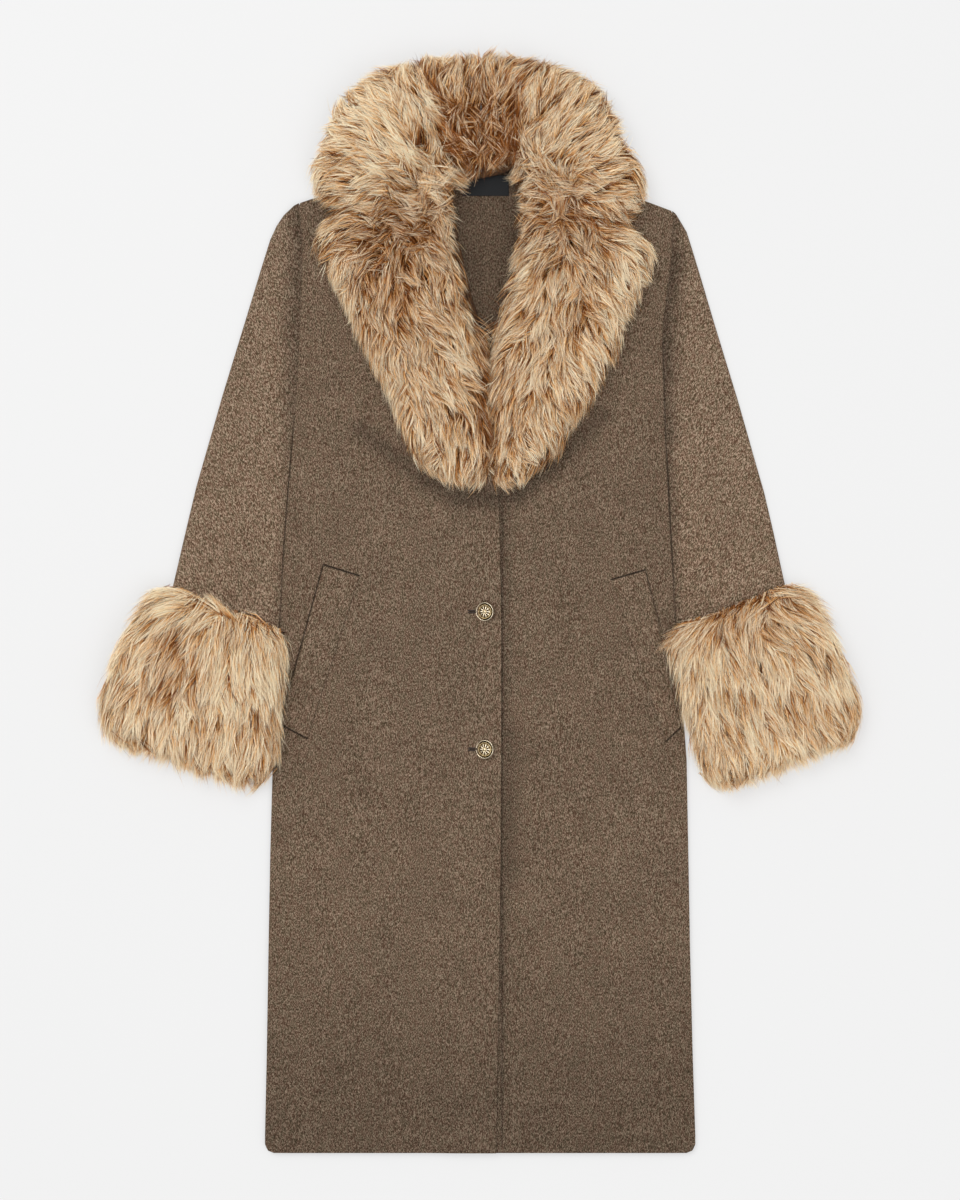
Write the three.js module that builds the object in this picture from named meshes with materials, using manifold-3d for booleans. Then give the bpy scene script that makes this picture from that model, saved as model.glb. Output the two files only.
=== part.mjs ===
import * as THREE from 'three';
import { mergeVertices } from 'three/addons/utils/BufferGeometryUtils.js';
import Module from 'manifold-3d';

// A long coat laid flat on its back: X runs across it, Y from the hem to the collar and Z up.
// Sizes are millimetres. The origin is on the surface, at the middle of the coat's box.
// Left and right are the viewer's.

const wasm = await Module();
wasm.setup();

const cutBelow = 5; // how far a cutting shape goes on below the surface

// Driving dimensions
const coatHeight = 1262; // hem to the top of the collar
const cloth = 2.2; // thickness of the double wool cloth
const seamGap = 0.3; // between two pieces that are sewn together
const hemY = -coatHeight / 2;
const collarTopY = coatHeight / 2;
const backHemY = hemY + 1.5;
const hemCorner = 10; // radius at the foot of each side seam
const frontAirAtSide = 0.6; // room between front and back at the side seam
const frontAirInside = 1.7; // and away from it
const sideRoll = 24; // how far in from the side seam the front rises
const lapWidth = 39.5; // how far the left front lies over the right one
const lapSlope = 36; // width over which it comes down again
const sleeveThickness = 5.2; // a flattened sleeve at its folds
const sleevePuff = 1.6; // how much thicker it is in the middle
const breakY = 128; // where the front edges part and the collar begins
const neckPoint = { x: 64, y: 508 };
const neckDrop = 12; // centre back neckline below the neck points
const buttonX = 4.3;
const buttonYs = [-9.3, -167.3];

// The side line of each half, which is its armhole above and its side seam below, and the outer
// fold of the sleeve beside it. seam is where the front sleeve seam lies, as a share of the
// sleeve's width from the fold, and rise is how far the sleeve is off the surface.
const leftStations = [
  { armX: -209, armY: 459.5, foldX: -216, foldY: 456, seam: 1, rise: 0 },
  { armX: -207.6, armY: 446, foldX: -226.5, foldY: 446, seam: 1, rise: 0 },
  { armX: -206.5, armY: 432, foldX: -234.6, foldY: 434, seam: 1, rise: 0 },
  { armX: -205.5, armY: 414, foldX: -242, foldY: 418, seam: 1, rise: 0 },
  { armX: -207, armY: 366, foldX: -253, foldY: 383, seam: 1, rise: 0 },
  { armX: -209, armY: 320, foldX: -266, foldY: 340, seam: 1, rise: 0 },
  { armX: -211, armY: 271, foldX: -281, foldY: 291, seam: 1, rise: 0 },
  { armX: -214, armY: 220, foldX: -296, foldY: 242, seam: 1, rise: 0 },
  { armX: -214.3, armY: 216, foldX: -297.2, foldY: 238, seam: 0.955, rise: 0 },
  { armX: -216, armY: 188, foldX: -306, foldY: 207, seam: 0.93, rise: 0 },
  { armX: -219, armY: 157, foldX: -315, foldY: 176, seam: 0.84, rise: 0 },
  { armX: -223, armY: 110, foldX: -327, foldY: 134, seam: 0.69, rise: 0 },
  { armX: -227, armY: 56, foldX: -338, foldY: 88, seam: 0.58, rise: 0 },
  { armX: -231, armY: -8, foldX: -350, foldY: 35, seam: 0.515, rise: 4 },
  { armX: -236, armY: -58, foldX: -360, foldY: -10, seam: 0.5, rise: 9 },
  { armX: -243, armY: -111, foldX: -376, foldY: -67, seam: 0.5, rise: 11 },
  { armX: -250, armY: -155, foldX: -392, foldY: -117, seam: 0.5, rise: 11 },
  { armX: -256, armY: -177, foldX: -401, foldY: -141, seam: 0.5, rise: 11 },
];
const rightStations = [
  { armX: 219.5, armY: 450.5, foldX: 225, foldY: 445.5, seam: 1, rise: 0 },
  { armX: 220.5, armY: 421, foldX: 236, foldY: 427, seam: 1, rise: 0 },
  { armX: 218.5, armY: 389, foldX: 243, foldY: 405, seam: 1, rise: 0 },
  { armX: 213, armY: 352, foldX: 253, foldY: 372, seam: 1, rise: 0 },
  { armX: 208.5, armY: 309, foldX: 266, foldY: 328, seam: 1, rise: 0 },
  { armX: 210.5, armY: 263, foldX: 280, foldY: 282, seam: 1, rise: 0 },
  { armX: 211.5, armY: 213, foldX: 295, foldY: 233, seam: 1, rise: 0 },
  { armX: 212.5, armY: 180, foldX: 305, foldY: 198, seam: 1, rise: 0 },
  { armX: 212.7, armY: 176, foldX: 306.2, foldY: 194, seam: 0.955, rise: 0 },
  { armX: 214, armY: 156, foldX: 312, foldY: 173, seam: 0.94, rise: 0 },
  { armX: 216.5, armY: 105, foldX: 325, foldY: 128, seam: 0.87, rise: 0 },
  { armX: 219.5, armY: 50, foldX: 336, foldY: 81, seam: 0.77, rise: 0 },
  { armX: 223, armY: -10, foldX: 347, foldY: 29, seam: 0.67, rise: 4 },
  { armX: 231, armY: -58, foldX: 356, foldY: -10, seam: 0.63, rise: 9 },
  { armX: 240, armY: -111, foldX: 371, foldY: -67, seam: 0.6, rise: 11 },
  { armX: 250, armY: -155, foldX: 387, foldY: -117, seam: 0.6, rise: 11 },
  { armX: 260, armY: -177, foldX: 399, foldY: -141, seam: 0.6, rise: 11 },
];
// Below the sleeve the side seam goes on alone.
const leftSideSeam = [
  { x: -233.5, y: -58 },
  { x: -236, y: -111 },
  { x: -239, y: -180 },
  { x: -242, y: -290 },
  { x: -244, y: -400 },
  { x: -246, y: -520 },
  { x: -248, y: -612 },
];
const rightSideSeam = [
  { x: 226, y: -58 },
  { x: 231, y: -111 },
  { x: 236, y: -180 },
  { x: 238, y: -290 },
  { x: 240, y: -400 },
  { x: 243, y: -520 },
  { x: 246, y: -612 },
];
// The front edge of the left front and, above the break, its neckline under the collar.
const frontEdge = [
  { x: 17, y: hemY },
  { x: 19, y: -500 },
  { x: 22, y: -341 },
  { x: 23, y: -168 },
  { x: 23, y: -10 },
  { x: 20, y: breakY },
  { x: 12, y: 190 },
  { x: -2, y: 280 },
  { x: -24, y: 360 },
  { x: -42, y: 440 },
  { x: -neckPoint.x, y: neckPoint.y },
];

// Each row is a section across the collar, from the front tip of one half round to the centre
// back: its inner edge, its outer edge and its height.
const leftCollar = [
  { inX: 8, inY: 134, outX: -34, outY: 134, height: 17 },
  { inX: 9.6, inY: 153, outX: -66, outY: 156, height: 29 },
  { inX: 9.6, inY: 188, outX: -89, outY: 188, height: 36 },
  { inX: 9.6, inY: 234, outX: -107, outY: 236, height: 40 },
  { inX: 5, inY: 280, outX: -132, outY: 286, height: 42 },
  { inX: -3, inY: 314, outX: -146, outY: 320, height: 44 },
  { inX: -10, inY: 349, outX: -162, outY: 355, height: 46 },
  { inX: -15, inY: 389, outX: -178, outY: 387, height: 47 },
  { inX: -17, inY: 424, outX: -188, outY: 416, height: 46 },
  { inX: -22, inY: 452, outX: -181, outY: 437, height: 44 },
  { inX: -25, inY: 470, outX: -165, outY: 453, height: 43 },
  { inX: -28, inY: 485, outX: -190, outY: 468, height: 47 },
  { inX: -29, inY: 496, outX: -197, outY: 494, height: 52 },
  { inX: -30, inY: 504, outX: -187, outY: 531, height: 56 },
  { inX: -30, inY: 507, outX: -168, outY: 567, height: 58 },
  { inX: -28, inY: 506, outX: -144, outY: 598, height: 58 },
  { inX: -23, inY: 502, outX: -107, outY: 618, height: 55 },
  { inX: -15, inY: 498, outX: -61, outY: 627, height: 50 },
  { inX: 0, inY: 496, outX: 0, outY: collarTopY, height: 45 },
];
const rightCollar = [
  { inX: 14, inY: 133, outX: 44, outY: 136, height: 17 },
  { inX: 11.6, inY: 153, outX: 69, outY: 156, height: 29 },
  { inX: 11.6, inY: 188, outX: 98, outY: 188, height: 36 },
  { inX: 11.6, inY: 234, outX: 131, outY: 232, height: 40 },
  { inX: 12, inY: 280, outX: 156, outY: 282, height: 42 },
  { inX: 16, inY: 317, outX: 172, outY: 320, height: 44 },
  { inX: 23, inY: 351, outX: 185, outY: 352, height: 46 },
  { inX: 31, inY: 381, outX: 195, outY: 381, height: 47 },
  { inX: 38, inY: 412, outX: 199, outY: 403, height: 46 },
  { inX: 41, inY: 439, outX: 185, outY: 421, height: 44 },
  { inX: 41, inY: 458, outX: 169, outY: 436, height: 43 },
  { inX: 39, inY: 476, outX: 186, outY: 452, height: 47 },
  { inX: 38, inY: 490, outX: 193, outY: 470, height: 52 },
  { inX: 38, inY: 501, outX: 186, outY: 499, height: 56 },
  { inX: 38, inY: 506, outX: 170, outY: 539, height: 58 },
  { inX: 36, inY: 506, outX: 151, outY: 577, height: 58 },
  { inX: 31, inY: 504, outX: 123, outY: 607, height: 55 },
  { inX: 22, inY: 501, outX: 74, outY: 624, height: 50 },
  { inX: 0, inY: 496, outX: 0, outY: collarTopY, height: 45 },
];

// Sections across each cuff, from its upper edge to its mouth: outer side, inner side, height.
const leftCuff = [
  { outX: -362, outY: 21, inX: -226, inY: -33, height: 24 },
  { outX: -381, outY: 8, inX: -222, inY: -56, height: 38 },
  { outX: -404, outY: -21, inX: -224, inY: -90, height: 47 },
  { outX: -423, outY: -56, inX: -228, inY: -129, height: 49 },
  { outX: -434, outY: -94, inX: -232, inY: -162, height: 48 },
  { outX: -436, outY: -125, inX: -237, inY: -189, height: 44 },
  { outX: -429, outY: -155, inX: -256, inY: -210, height: 30 },
];
const rightCuff = [
  { outX: 358, outY: 23, inX: 219, inY: -33, height: 24 },
  { outX: 381, outY: 11, inX: 215, inY: -52, height: 38 },
  { outX: 405, outY: -21, inX: 226, inY: -90, height: 47 },
  { outX: 420, outY: -56, inX: 234, inY: -125, height: 49 },
  { outX: 431, outY: -94, inX: 240, inY: -163, height: 48 },
  { outX: 436, outY: -125, inX: 250, inY: -191, height: 44 },
  { outX: 428, outY: -157, inX: 266, inY: -213, height: 30 },
];

// Corners of the pocket welts: upper outer, upper inner, lower inner, lower outer.
const leftWelt = [
  { x: -180.5, y: 43.5 },
  { x: -140, y: 31 },
  { x: -200, y: -154 },
  { x: -231, y: -137.5 },
];
const rightWelt = [
  { x: 150, y: 26.5 },
  { x: 188, y: 37.5 },
  { x: 229, y: -142 },
  { x: 212, y: -157.5 },
];
const weltThickness = 1.8;

const woolColour = '#6c594a';
const furColour = '#c4a07b';
const metalColour = '#b89c6c';
const labelColour = '#262624';

// ---------------------------------------------------------------- shapes

function smooth(share) {
  const t = THREE.MathUtils.clamp(share, 0, 1);
  return t * t * (3 - 2 * t);
}

// The value of one column of a table at a given place, straight between its rows.
function valueAt(rows, from, to, place) {
  const last = rows.length - 1;
  let index = 0;
  const rising = rows[last][from] > rows[0][from];
  while (index < last - 1 && (rising ? rows[index + 1][from] < place : rows[index + 1][from] > place)) {
    index += 1;
  }
  const low = rows[index];
  const high = rows[index + 1];
  const share = THREE.MathUtils.clamp((place - low[from]) / (high[from] - low[from]), 0, 1);
  return THREE.MathUtils.lerp(low[to], high[to], share);
}

// A smooth run of sections through the rows of a table, with some more between each two.
function refine(rows, between) {
  const names = Object.keys(rows[0]);
  const curves = names.map((name) => new THREE.SplineCurve(
    rows.map((row, index) => new THREE.Vector2(index, row[name])),
  ));
  const steps = (rows.length - 1) * (between + 1);
  const finer = [];
  for (let step = 0; step <= steps; step += 1) {
    const section = {};
    names.forEach((name, index) => {
      section[name] = curves[index].getPoint(step / steps).y;
    });
    finer.push(section);
  }
  return finer;
}

// Turns every face round if the closed surface has its faces pointing inwards.
function faceOutwards(positions, faces) {
  const a = new THREE.Vector3();
  const b = new THREE.Vector3();
  const c = new THREE.Vector3();
  let volume = 0;
  for (const [i, j, k] of faces) {
    a.fromArray(positions, 3 * i);
    b.fromArray(positions, 3 * j);
    c.fromArray(positions, 3 * k);
    volume += a.dot(b.cross(c));
  }
  return volume < 0 ? faces.map(([i, j, k]) => [i, k, j]) : faces;
}

// The closed solid between two grids of points with the same rows and columns.
function wallBetween(upper, lower) {
  const rows = upper.length;
  const columns = upper[0].length;
  const positions = [];
  for (const grid of [upper, lower]) {
    for (const row of grid) {
      for (const point of row) positions.push(point.x, point.y, point.z);
    }
  }
  const at = (layer, row, column) => layer * rows * columns + row * columns + column;
  const faces = [];
  const quad = (a, b, c, d) => faces.push([a, b, c], [a, c, d]);
  for (let row = 0; row < rows - 1; row += 1) {
    for (let column = 0; column < columns - 1; column += 1) {
      quad(at(0, row, column), at(0, row, column + 1), at(0, row + 1, column + 1), at(0, row + 1, column));
      quad(at(1, row + 1, column), at(1, row + 1, column + 1), at(1, row, column + 1), at(1, row, column));
    }
    const end = columns - 1;
    quad(at(0, row + 1, 0), at(1, row + 1, 0), at(1, row, 0), at(0, row, 0));
    quad(at(0, row, end), at(1, row, end), at(1, row + 1, end), at(0, row + 1, end));
  }
  for (let column = 0; column < columns - 1; column += 1) {
    const end = rows - 1;
    quad(at(0, 0, column), at(1, 0, column), at(1, 0, column + 1), at(0, 0, column + 1));
    quad(at(0, end, column + 1), at(1, end, column + 1), at(1, end, column), at(0, end, column));
  }
  const geometry = new THREE.BufferGeometry();
  geometry.setAttribute('position', new THREE.Float32BufferAttribute(positions, 3));
  geometry.setIndex(faceOutwards(positions, faces).flat());
  return geometry;
}

function toSolid(geometry) {
  const plain = geometry.clone();
  plain.deleteAttribute('normal');
  plain.deleteAttribute('uv');
  const merged = mergeVertices(plain, 1e-4);
  return new wasm.Manifold(new wasm.Mesh({
    numProp: 3,
    vertProperties: new Float32Array(merged.attributes.position.array),
    triVerts: new Uint32Array(merged.index.array),
  }));
}

function cut(geometry, tools) {
  let solid = toSolid(geometry);
  for (const tool of tools) solid = solid.subtract(toSolid(tool));
  const mesh = solid.getMesh();
  const result = new THREE.BufferGeometry();
  result.setAttribute('position', new THREE.Float32BufferAttribute(mesh.vertProperties, 3));
  result.setIndex(Array.from(mesh.triVerts));
  return result;
}

// Plan points of a panel, moved out by a margin all round, for the space it takes up.
function widen(rows, margin) {
  const moved = rows.map((row) => row.map((point) => point.clone()));
  if (margin === 0) return moved;
  const outwards = (point, neighbour) => point.clone().sub(neighbour).setLength(margin);
  const lastRow = rows.length - 1;
  const lastColumn = rows[0].length - 1;
  rows.forEach((row, index) => {
    moved[index][0].add(outwards(row[0], row[1]));
    moved[index][lastColumn].add(outwards(row[lastColumn], row[lastColumn - 1]));
  });
  rows[0].forEach((point, column) => {
    moved[0][column].add(outwards(point, rows[1][column]));
    moved[lastRow][column].add(outwards(rows[lastRow][column], rows[lastRow - 1][column]));
  });
  return moved;
}

// A panel of cloth on a grid of plan points: its underside follows a height, its top is one
// cloth above, and a margin turns it into the space that other pieces stay out of.
function layer(plan, underside, thickness, margin = 0) {
  const wide = widen(plan, margin);
  const upper = wide.map((row) => row.map(({ x, y }) => (
    new THREE.Vector3(x, y, underside(x, y) + thickness + margin)
  )));
  const lower = wide.map((row) => row.map(({ x, y }) => (
    new THREE.Vector3(x, y, margin > 0 ? -cutBelow : underside(x, y))
  )));
  return wallBetween(upper, lower);
}

// ---------------------------------------------------------------- the body

const halves = {
  left: {
    sign: -1,
    stations: leftStations,
    seam: leftSideSeam,
    collar: leftCollar,
    cuff: leftCuff,
    welt: leftWelt,
  },
  right: {
    sign: 1,
    stations: rightStations,
    seam: rightSideSeam,
    collar: rightCollar,
    cuff: rightCuff,
    welt: rightWelt,
  },
};

for (const half of Object.values(halves)) {
  const beside = half.stations.filter((row) => row.armY > half.seam[0].y + 1);
  half.side = [
    ...half.seam.slice().reverse(),
    ...beside.reverse().map((row) => ({ x: row.armX, y: row.armY })),
  ];
  const shoulder = half.side[half.side.length - 1];
  half.shoulderRise = neckPoint.y - shoulder.y;
  half.shoulderX = shoulder.x;
}

// The under front's edge is the upper front's mirrored about the buttons.
function edgeAt(half, y) {
  const x = valueAt(frontEdge, 'y', 'x', y);
  return half.sign < 0 ? x : 2 * buttonX - x;
}

function sideAt(half, y) {
  return valueAt(half.side, 'y', 'x', y);
}

// How far a row has climbed at its inner end, from level at the break to the shoulder's slope.
function rowClimb(half, y) {
  const shoulderY = half.side[half.side.length - 1].y;
  return half.shoulderRise * smooth((y - breakY) / (shoulderY - breakY));
}

function frontUnderside(half) {
  return (x, y) => {
    const fromSide = Math.abs(x - sideAt(half, y));
    const air = THREE.MathUtils.lerp(frontAirAtSide, frontAirInside, smooth(fromSide / sideRoll));
    let height = cloth + seamGap + air;
    if (half.sign < 0) {
      const fromEdge = edgeAt(half, y) - x;
      height += (cloth + 2 * seamGap) * (1 - smooth((fromEdge - lapWidth) / lapSlope));
    }
    return height;
  };
}

// Distances from the side seam at which a row has its points.
function stops(width, nearSide, middle, nearEnd) {
  const places = [...nearSide];
  const start = nearSide[nearSide.length - 1];
  const end = width - nearEnd[0];
  for (let step = 1; step <= middle; step += 1) {
    places.push(THREE.MathUtils.lerp(start, end, step / (middle + 1)));
  }
  return [...places, ...nearEnd.map((distance) => width - distance)];
}

function cornerRise(distance, radius) {
  if (distance >= radius) return 0;
  return radius - Math.sqrt(radius * radius - (radius - distance) ** 2);
}

// Plan of a front or a back: rows from the hem up to the shoulder, each from the side inwards.
function panelPlan(half, { inset, hem, ends, nearSide, middle, nearEnd }) {
  const levels = [{ x: half.side[0].x, y: hem, atHem: true }, ...half.side];
  return levels.map(({ x, y, atHem }) => {
    const climb = rowClimb(half, y);
    const start = x - half.sign * inset;
    const endX = ends(y + climb);
    const width = Math.abs(endX - start);
    const direction = Math.sign(endX - start);
    return stops(width, nearSide, middle, nearEnd).map((place) => {
      const px = start + direction * place;
      const slope = Math.min(1, place / Math.abs(half.shoulderX + direction * neckPoint.x));
      const corner = atHem ? cornerRise(place, hemCorner) : 0;
      return new THREE.Vector3(px, y + climb * slope + corner, 0);
    });
  });
}

const hemStops = [0, 3, 10, 24];
const lapStops = [lapWidth + lapSlope, lapWidth + 24, lapWidth + 12, lapWidth, 26, 13, 4, 0];

function frontPlan(half) {
  return panelPlan(half, {
    inset: 0,
    hem: hemY,
    ends: (y) => edgeAt(half, y),
    nearSide: hemStops,
    middle: 3,
    nearEnd: lapStops,
  });
}

// The back's top row dips from the neck point to the centre back.
function backPlan(half) {
  const plan = panelPlan(half, {
    inset: 0.6,
    hem: backHemY,
    ends: () => (half.sign * seamGap) / 2,
    nearSide: hemStops,
    middle: 1,
    nearEnd: [neckPoint.x, 42, 21, 0],
  });
  for (const row of plan) {
    for (const point of row) {
      const inNeck = 1 - Math.min(1, Math.abs(point.x) / neckPoint.x);
      const share = smooth((point.y - breakY) / (neckPoint.y - breakY));
      point.y -= neckDrop * share * Math.sin((inNeck * Math.PI) / 2);
    }
  }
  return plan;
}

function backUnderside() {
  return 0;
}

// ---------------------------------------------------------------- welts, buttons, label

function weltPlan(corners) {
  const [upperOuter, upperInner, lowerInner, lowerOuter] = corners;
  const rows = [];
  const steps = 8;
  for (let step = 0; step <= steps; step += 1) {
    const share = step / steps;
    const outer = new THREE.Vector3(upperOuter.x, upperOuter.y, 0)
      .lerp(new THREE.Vector3(lowerOuter.x, lowerOuter.y, 0), share);
    const inner = new THREE.Vector3(upperInner.x, upperInner.y, 0)
      .lerp(new THREE.Vector3(lowerInner.x, lowerInner.y, 0), share);
    const row = [];
    for (let column = 0; column <= 3; column += 1) row.push(outer.clone().lerp(inner, column / 3));
    rows.push(row);
  }
  return rows;
}

function weltUnderside(half) {
  const front = frontUnderside(half);
  return (x, y) => front(x, y) + cloth + seamGap;
}

const buttonRadius = 10.8;
const shankRadius = 1.7;
const slitHalf = 2.1; // half the buttonhole's opening round the shank
const slitLength = 25;
const slitPastShank = 6; // how much of it lies beyond the shank, towards the edge
const rimHeight = 3.9;
const domeHeight = 4.6;

function buttonBase(y) {
  return frontUnderside(halves.right)(buttonX, y) + cloth + seamGap;
}

// A shank button turned about its own axis: shank, flat back, rolled rim and domed face.
function button(y) {
  const base = buttonBase(y);
  const face = frontUnderside(halves.left)(buttonX, y) + cloth + seamGap;
  const profile = [
    [0, base],
    [shankRadius, base],
    [shankRadius, face],
    [buttonRadius - 2.2, face],
    [buttonRadius - 0.7, face + 0.8],
    [buttonRadius, face + 2.2],
    [buttonRadius - 0.5, face + 3.4],
    [buttonRadius - 1.5, face + rimHeight],
    [buttonRadius - 2.4, face + 3.4],
    [buttonRadius - 3.6, face + 3.6],
    [buttonRadius / 2, face + 4.3],
    [0, face + domeHeight],
  ];
  const lathe = new THREE.LatheGeometry(profile.map(([r, z]) => new THREE.Vector2(r, z)), 24);
  lathe.rotateX(Math.PI / 2);
  lathe.translate(buttonX, y, 0);
  return lathe;
}

// A lens-shaped slot through the cloth: wide at the shank, closed at both ends.
function buttonSlit(y) {
  const outline = new THREE.Shape();
  const end = buttonX + slitPastShank;
  const start = end - slitLength;
  outline.moveTo(start, y);
  outline.quadraticCurveTo(buttonX - 2, y - 2 * slitHalf - 0.6, end, y);
  outline.quadraticCurveTo(buttonX - 2, y + 2 * slitHalf + 0.6, start, y);
  return new THREE.ExtrudeGeometry(outline, { depth: 30, bevelEnabled: false, curveSegments: 8 });
}

const labelBox = { left: -21, right: 32, low: 468.5, high: 492, thickness: 1 };

function label() {
  const { left, right, low, high, thickness } = labelBox;
  const rows = [];
  for (const y of [low, (low + high) / 2, high]) {
    const row = [];
    for (let column = 0; column <= 4; column += 1) {
      row.push(new THREE.Vector3(THREE.MathUtils.lerp(left, right, column / 4), y, 0));
    }
    rows.push(row);
  }
  return (margin = 0) => layer(rows, () => cloth + seamGap, thickness, margin);
}

// ---------------------------------------------------------------- sleeves

// Height of a sleeve's outer face above its own underside, across its width.
function sleeveTop(share) {
  return sleeveThickness + sleevePuff * Math.sin(Math.PI * THREE.MathUtils.clamp(share, 0, 1));
}

// One path round the section of a sleeve piece, a depth in from its outer face: over the top
// layer to a fold and back along the bottom layer. Distances are from the outer fold.
function sleevePath(width, from, back, atOuter, depth) {
  const radius = sleeveThickness / 2;
  const bend = radius - depth;
  const fold = atOuter ? radius : width - radius;
  const away = atOuter ? -1 : 1;
  const path = [];
  const flatSteps = 4;
  for (let step = 0; step <= flatSteps; step += 1) {
    const s = THREE.MathUtils.lerp(from, fold, step / flatSteps);
    path.push([s, sleeveTop(s / width) - depth]);
  }
  for (let step = 1; step < 4; step += 1) {
    const angle = Math.PI / 2 - (step * Math.PI) / 4;
    path.push([fold + away * bend * Math.cos(angle), radius + bend * Math.sin(angle)]);
  }
  for (let step = 0; step <= flatSteps; step += 1) {
    path.push([THREE.MathUtils.lerp(fold, back, step / flatSteps), depth]);
  }
  return path;
}

// A sleeve piece lofted through its stations. Its outer and inner faces are two grids.
function sleevePiece(half, atOuter) {
  const last = half.stations.length;
  const first = atOuter ? 0 : half.stations.findIndex((row) => row.seam < 1);
  const grids = [0, cloth].map((depth) => half.stations.slice(first, last).map((row) => {
    const fold = new THREE.Vector3(row.foldX, row.foldY, 0);
    const arm = new THREE.Vector3(row.armX + half.sign * seamGap * 1.4, row.armY, 0);
    const width = fold.distanceTo(arm);
    const across = arm.clone().sub(fold).normalize();
    const joined = row.seam === 1;
    const gap = atOuter ? -seamGap / 2 : seamGap / 2;
    const from = joined ? width : row.seam * width + gap;
    const rearSeam = Math.max(0.55, row.seam - 0.12) * width + gap;
    const back = joined ? width : rearSeam;
    return sleevePath(width, from, back, atOuter, depth).map(([s, z]) => (
      fold.clone().addScaledVector(across, s).setZ(z + row.rise)
    ));
  }));
  return wallBetween(grids[0], grids[1]);
}

const mouthReach = 5; // how far the mouth is cut beyond the sleeve's end, in station steps
const mouthInset = 6; // the mouth is narrower than the sleeve by this at each side
const mouthLow = 1.6; // and thinner: its lower and upper face above the sleeve's underside
const mouthHigh = 4.6;

// The solid between two heights across a run of sleeve stations, wider by a clearance.
function slot(rows, clear, low, high) {
  const upper = [];
  const lower = [];
  for (const row of rows) {
    const fold = new THREE.Vector3(row.foldX, row.foldY, row.rise);
    const arm = new THREE.Vector3(row.armX, row.armY, row.rise);
    const across = arm.clone().sub(fold).normalize();
    fold.addScaledVector(across, -clear);
    arm.addScaledVector(across, clear);
    const places = [0, 0.25, 0.5, 0.75, 1];
    const raised = (place, height) => fold.clone().lerp(arm, place).add(new THREE.Vector3(0, 0, height));
    upper.push(places.map((place) => raised(place, high(place))));
    lower.push(places.map((place) => raised(place, low)));
  }
  return wallBetween(upper, lower);
}

// The space inside a cuff: round the sleeve as far as it goes, then a narrow mouth.
function sleeveSlots(half) {
  const count = half.stations.length;
  const end = half.stations[count - 1];
  const previous = half.stations[count - 2];
  const firstRaised = half.stations.findIndex((row) => row.rise > 0);
  const beyond = (share) => {
    const row = { rise: end.rise };
    for (const name of ['foldX', 'foldY', 'armX', 'armY']) {
      row[name] = end[name] + (end[name] - previous[name]) * share;
    }
    return row;
  };
  const round = [...half.stations.slice(firstRaised - 1), beyond(0.05)];
  return [
    slot(round, seamGap, -seamGap, (share) => sleeveTop(share) + seamGap),
    slot([previous, end, beyond(mouthReach)], -mouthInset, mouthLow, () => mouthHigh),
  ];
}

// ---------------------------------------------------------------- fur volumes

const bulgeHeight = 14; // where a fur volume is widest
const floorShare = 0.8; // how much of its width rests flat
const collarCrown = 2.4; // how square the dome is: 2 is an ellipse
const cuffCrown = 2.6;

// A rounded volume over a run of sections: domed above, flat below, widest a little way up.
function furVolume(sections, crown) {
  const places = [0, 0.05, 0.13, 0.25, 0.38, 0.5, 0.62, 0.75, 0.87, 0.95, 1];
  const upper = [];
  const lower = [];
  for (const section of sections) {
    const outer = new THREE.Vector3(section.outX, section.outY, 0);
    const inner = new THREE.Vector3(section.inX, section.inY, 0);
    const widest = Math.min(bulgeHeight, section.height * 0.5);
    const top = [];
    const bottom = [];
    for (const place of places) {
      const off = Math.abs(2 * place - 1);
      const dome = Math.pow(1 - Math.pow(off, crown), 1 / crown);
      const belly = Math.pow(Math.max(0, (off - floorShare) / (1 - floorShare)), 1.5);
      const point = outer.clone().lerp(inner, place);
      top.push(point.clone().setZ(widest + 2 + (section.height - widest - 2) * dome));
      bottom.push(point.clone().setZ((widest - 2) * belly));
    }
    upper.push(top);
    lower.push(bottom);
  }
  return wallBetween(upper, lower);
}

// One half of the collar, cut off square at the centre back.
function collarSections(half) {
  const sections = refine(half.collar, 1);
  const last = sections[sections.length - 1];
  last.inX = (half.sign * seamGap) / 2;
  last.outX = (half.sign * seamGap) / 2;
  return sections;
}

// ---------------------------------------------------------------- the coat

const wool = new THREE.MeshStandardMaterial({ color: woolColour, roughness: 0.95, metalness: 0 });
const fur = new THREE.MeshStandardMaterial({ color: furColour, roughness: 0.85, metalness: 0 });
const metal = new THREE.MeshStandardMaterial({ color: metalColour, roughness: 0.32, metalness: 1 });
const woven = new THREE.MeshStandardMaterial({ color: labelColour, roughness: 0.8, metalness: 0 });

const coat = new THREE.Group();

function add(name, geometry, material) {
  const mesh = new THREE.Mesh(geometry, material);
  mesh.name = name;
  coat.add(mesh);
}

const neckLabel = label();
const bodySpace = [neckLabel(seamGap)];
const plans = {};

for (const [name, half] of Object.entries(halves)) {
  plans[name] = { back: backPlan(half), front: frontPlan(half), welt: weltPlan(half.welt) };
  bodySpace.push(layer(plans[name].back, backUnderside, cloth, seamGap));
  bodySpace.push(layer(plans[name].front, frontUnderside(half), cloth, seamGap));
}

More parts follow.
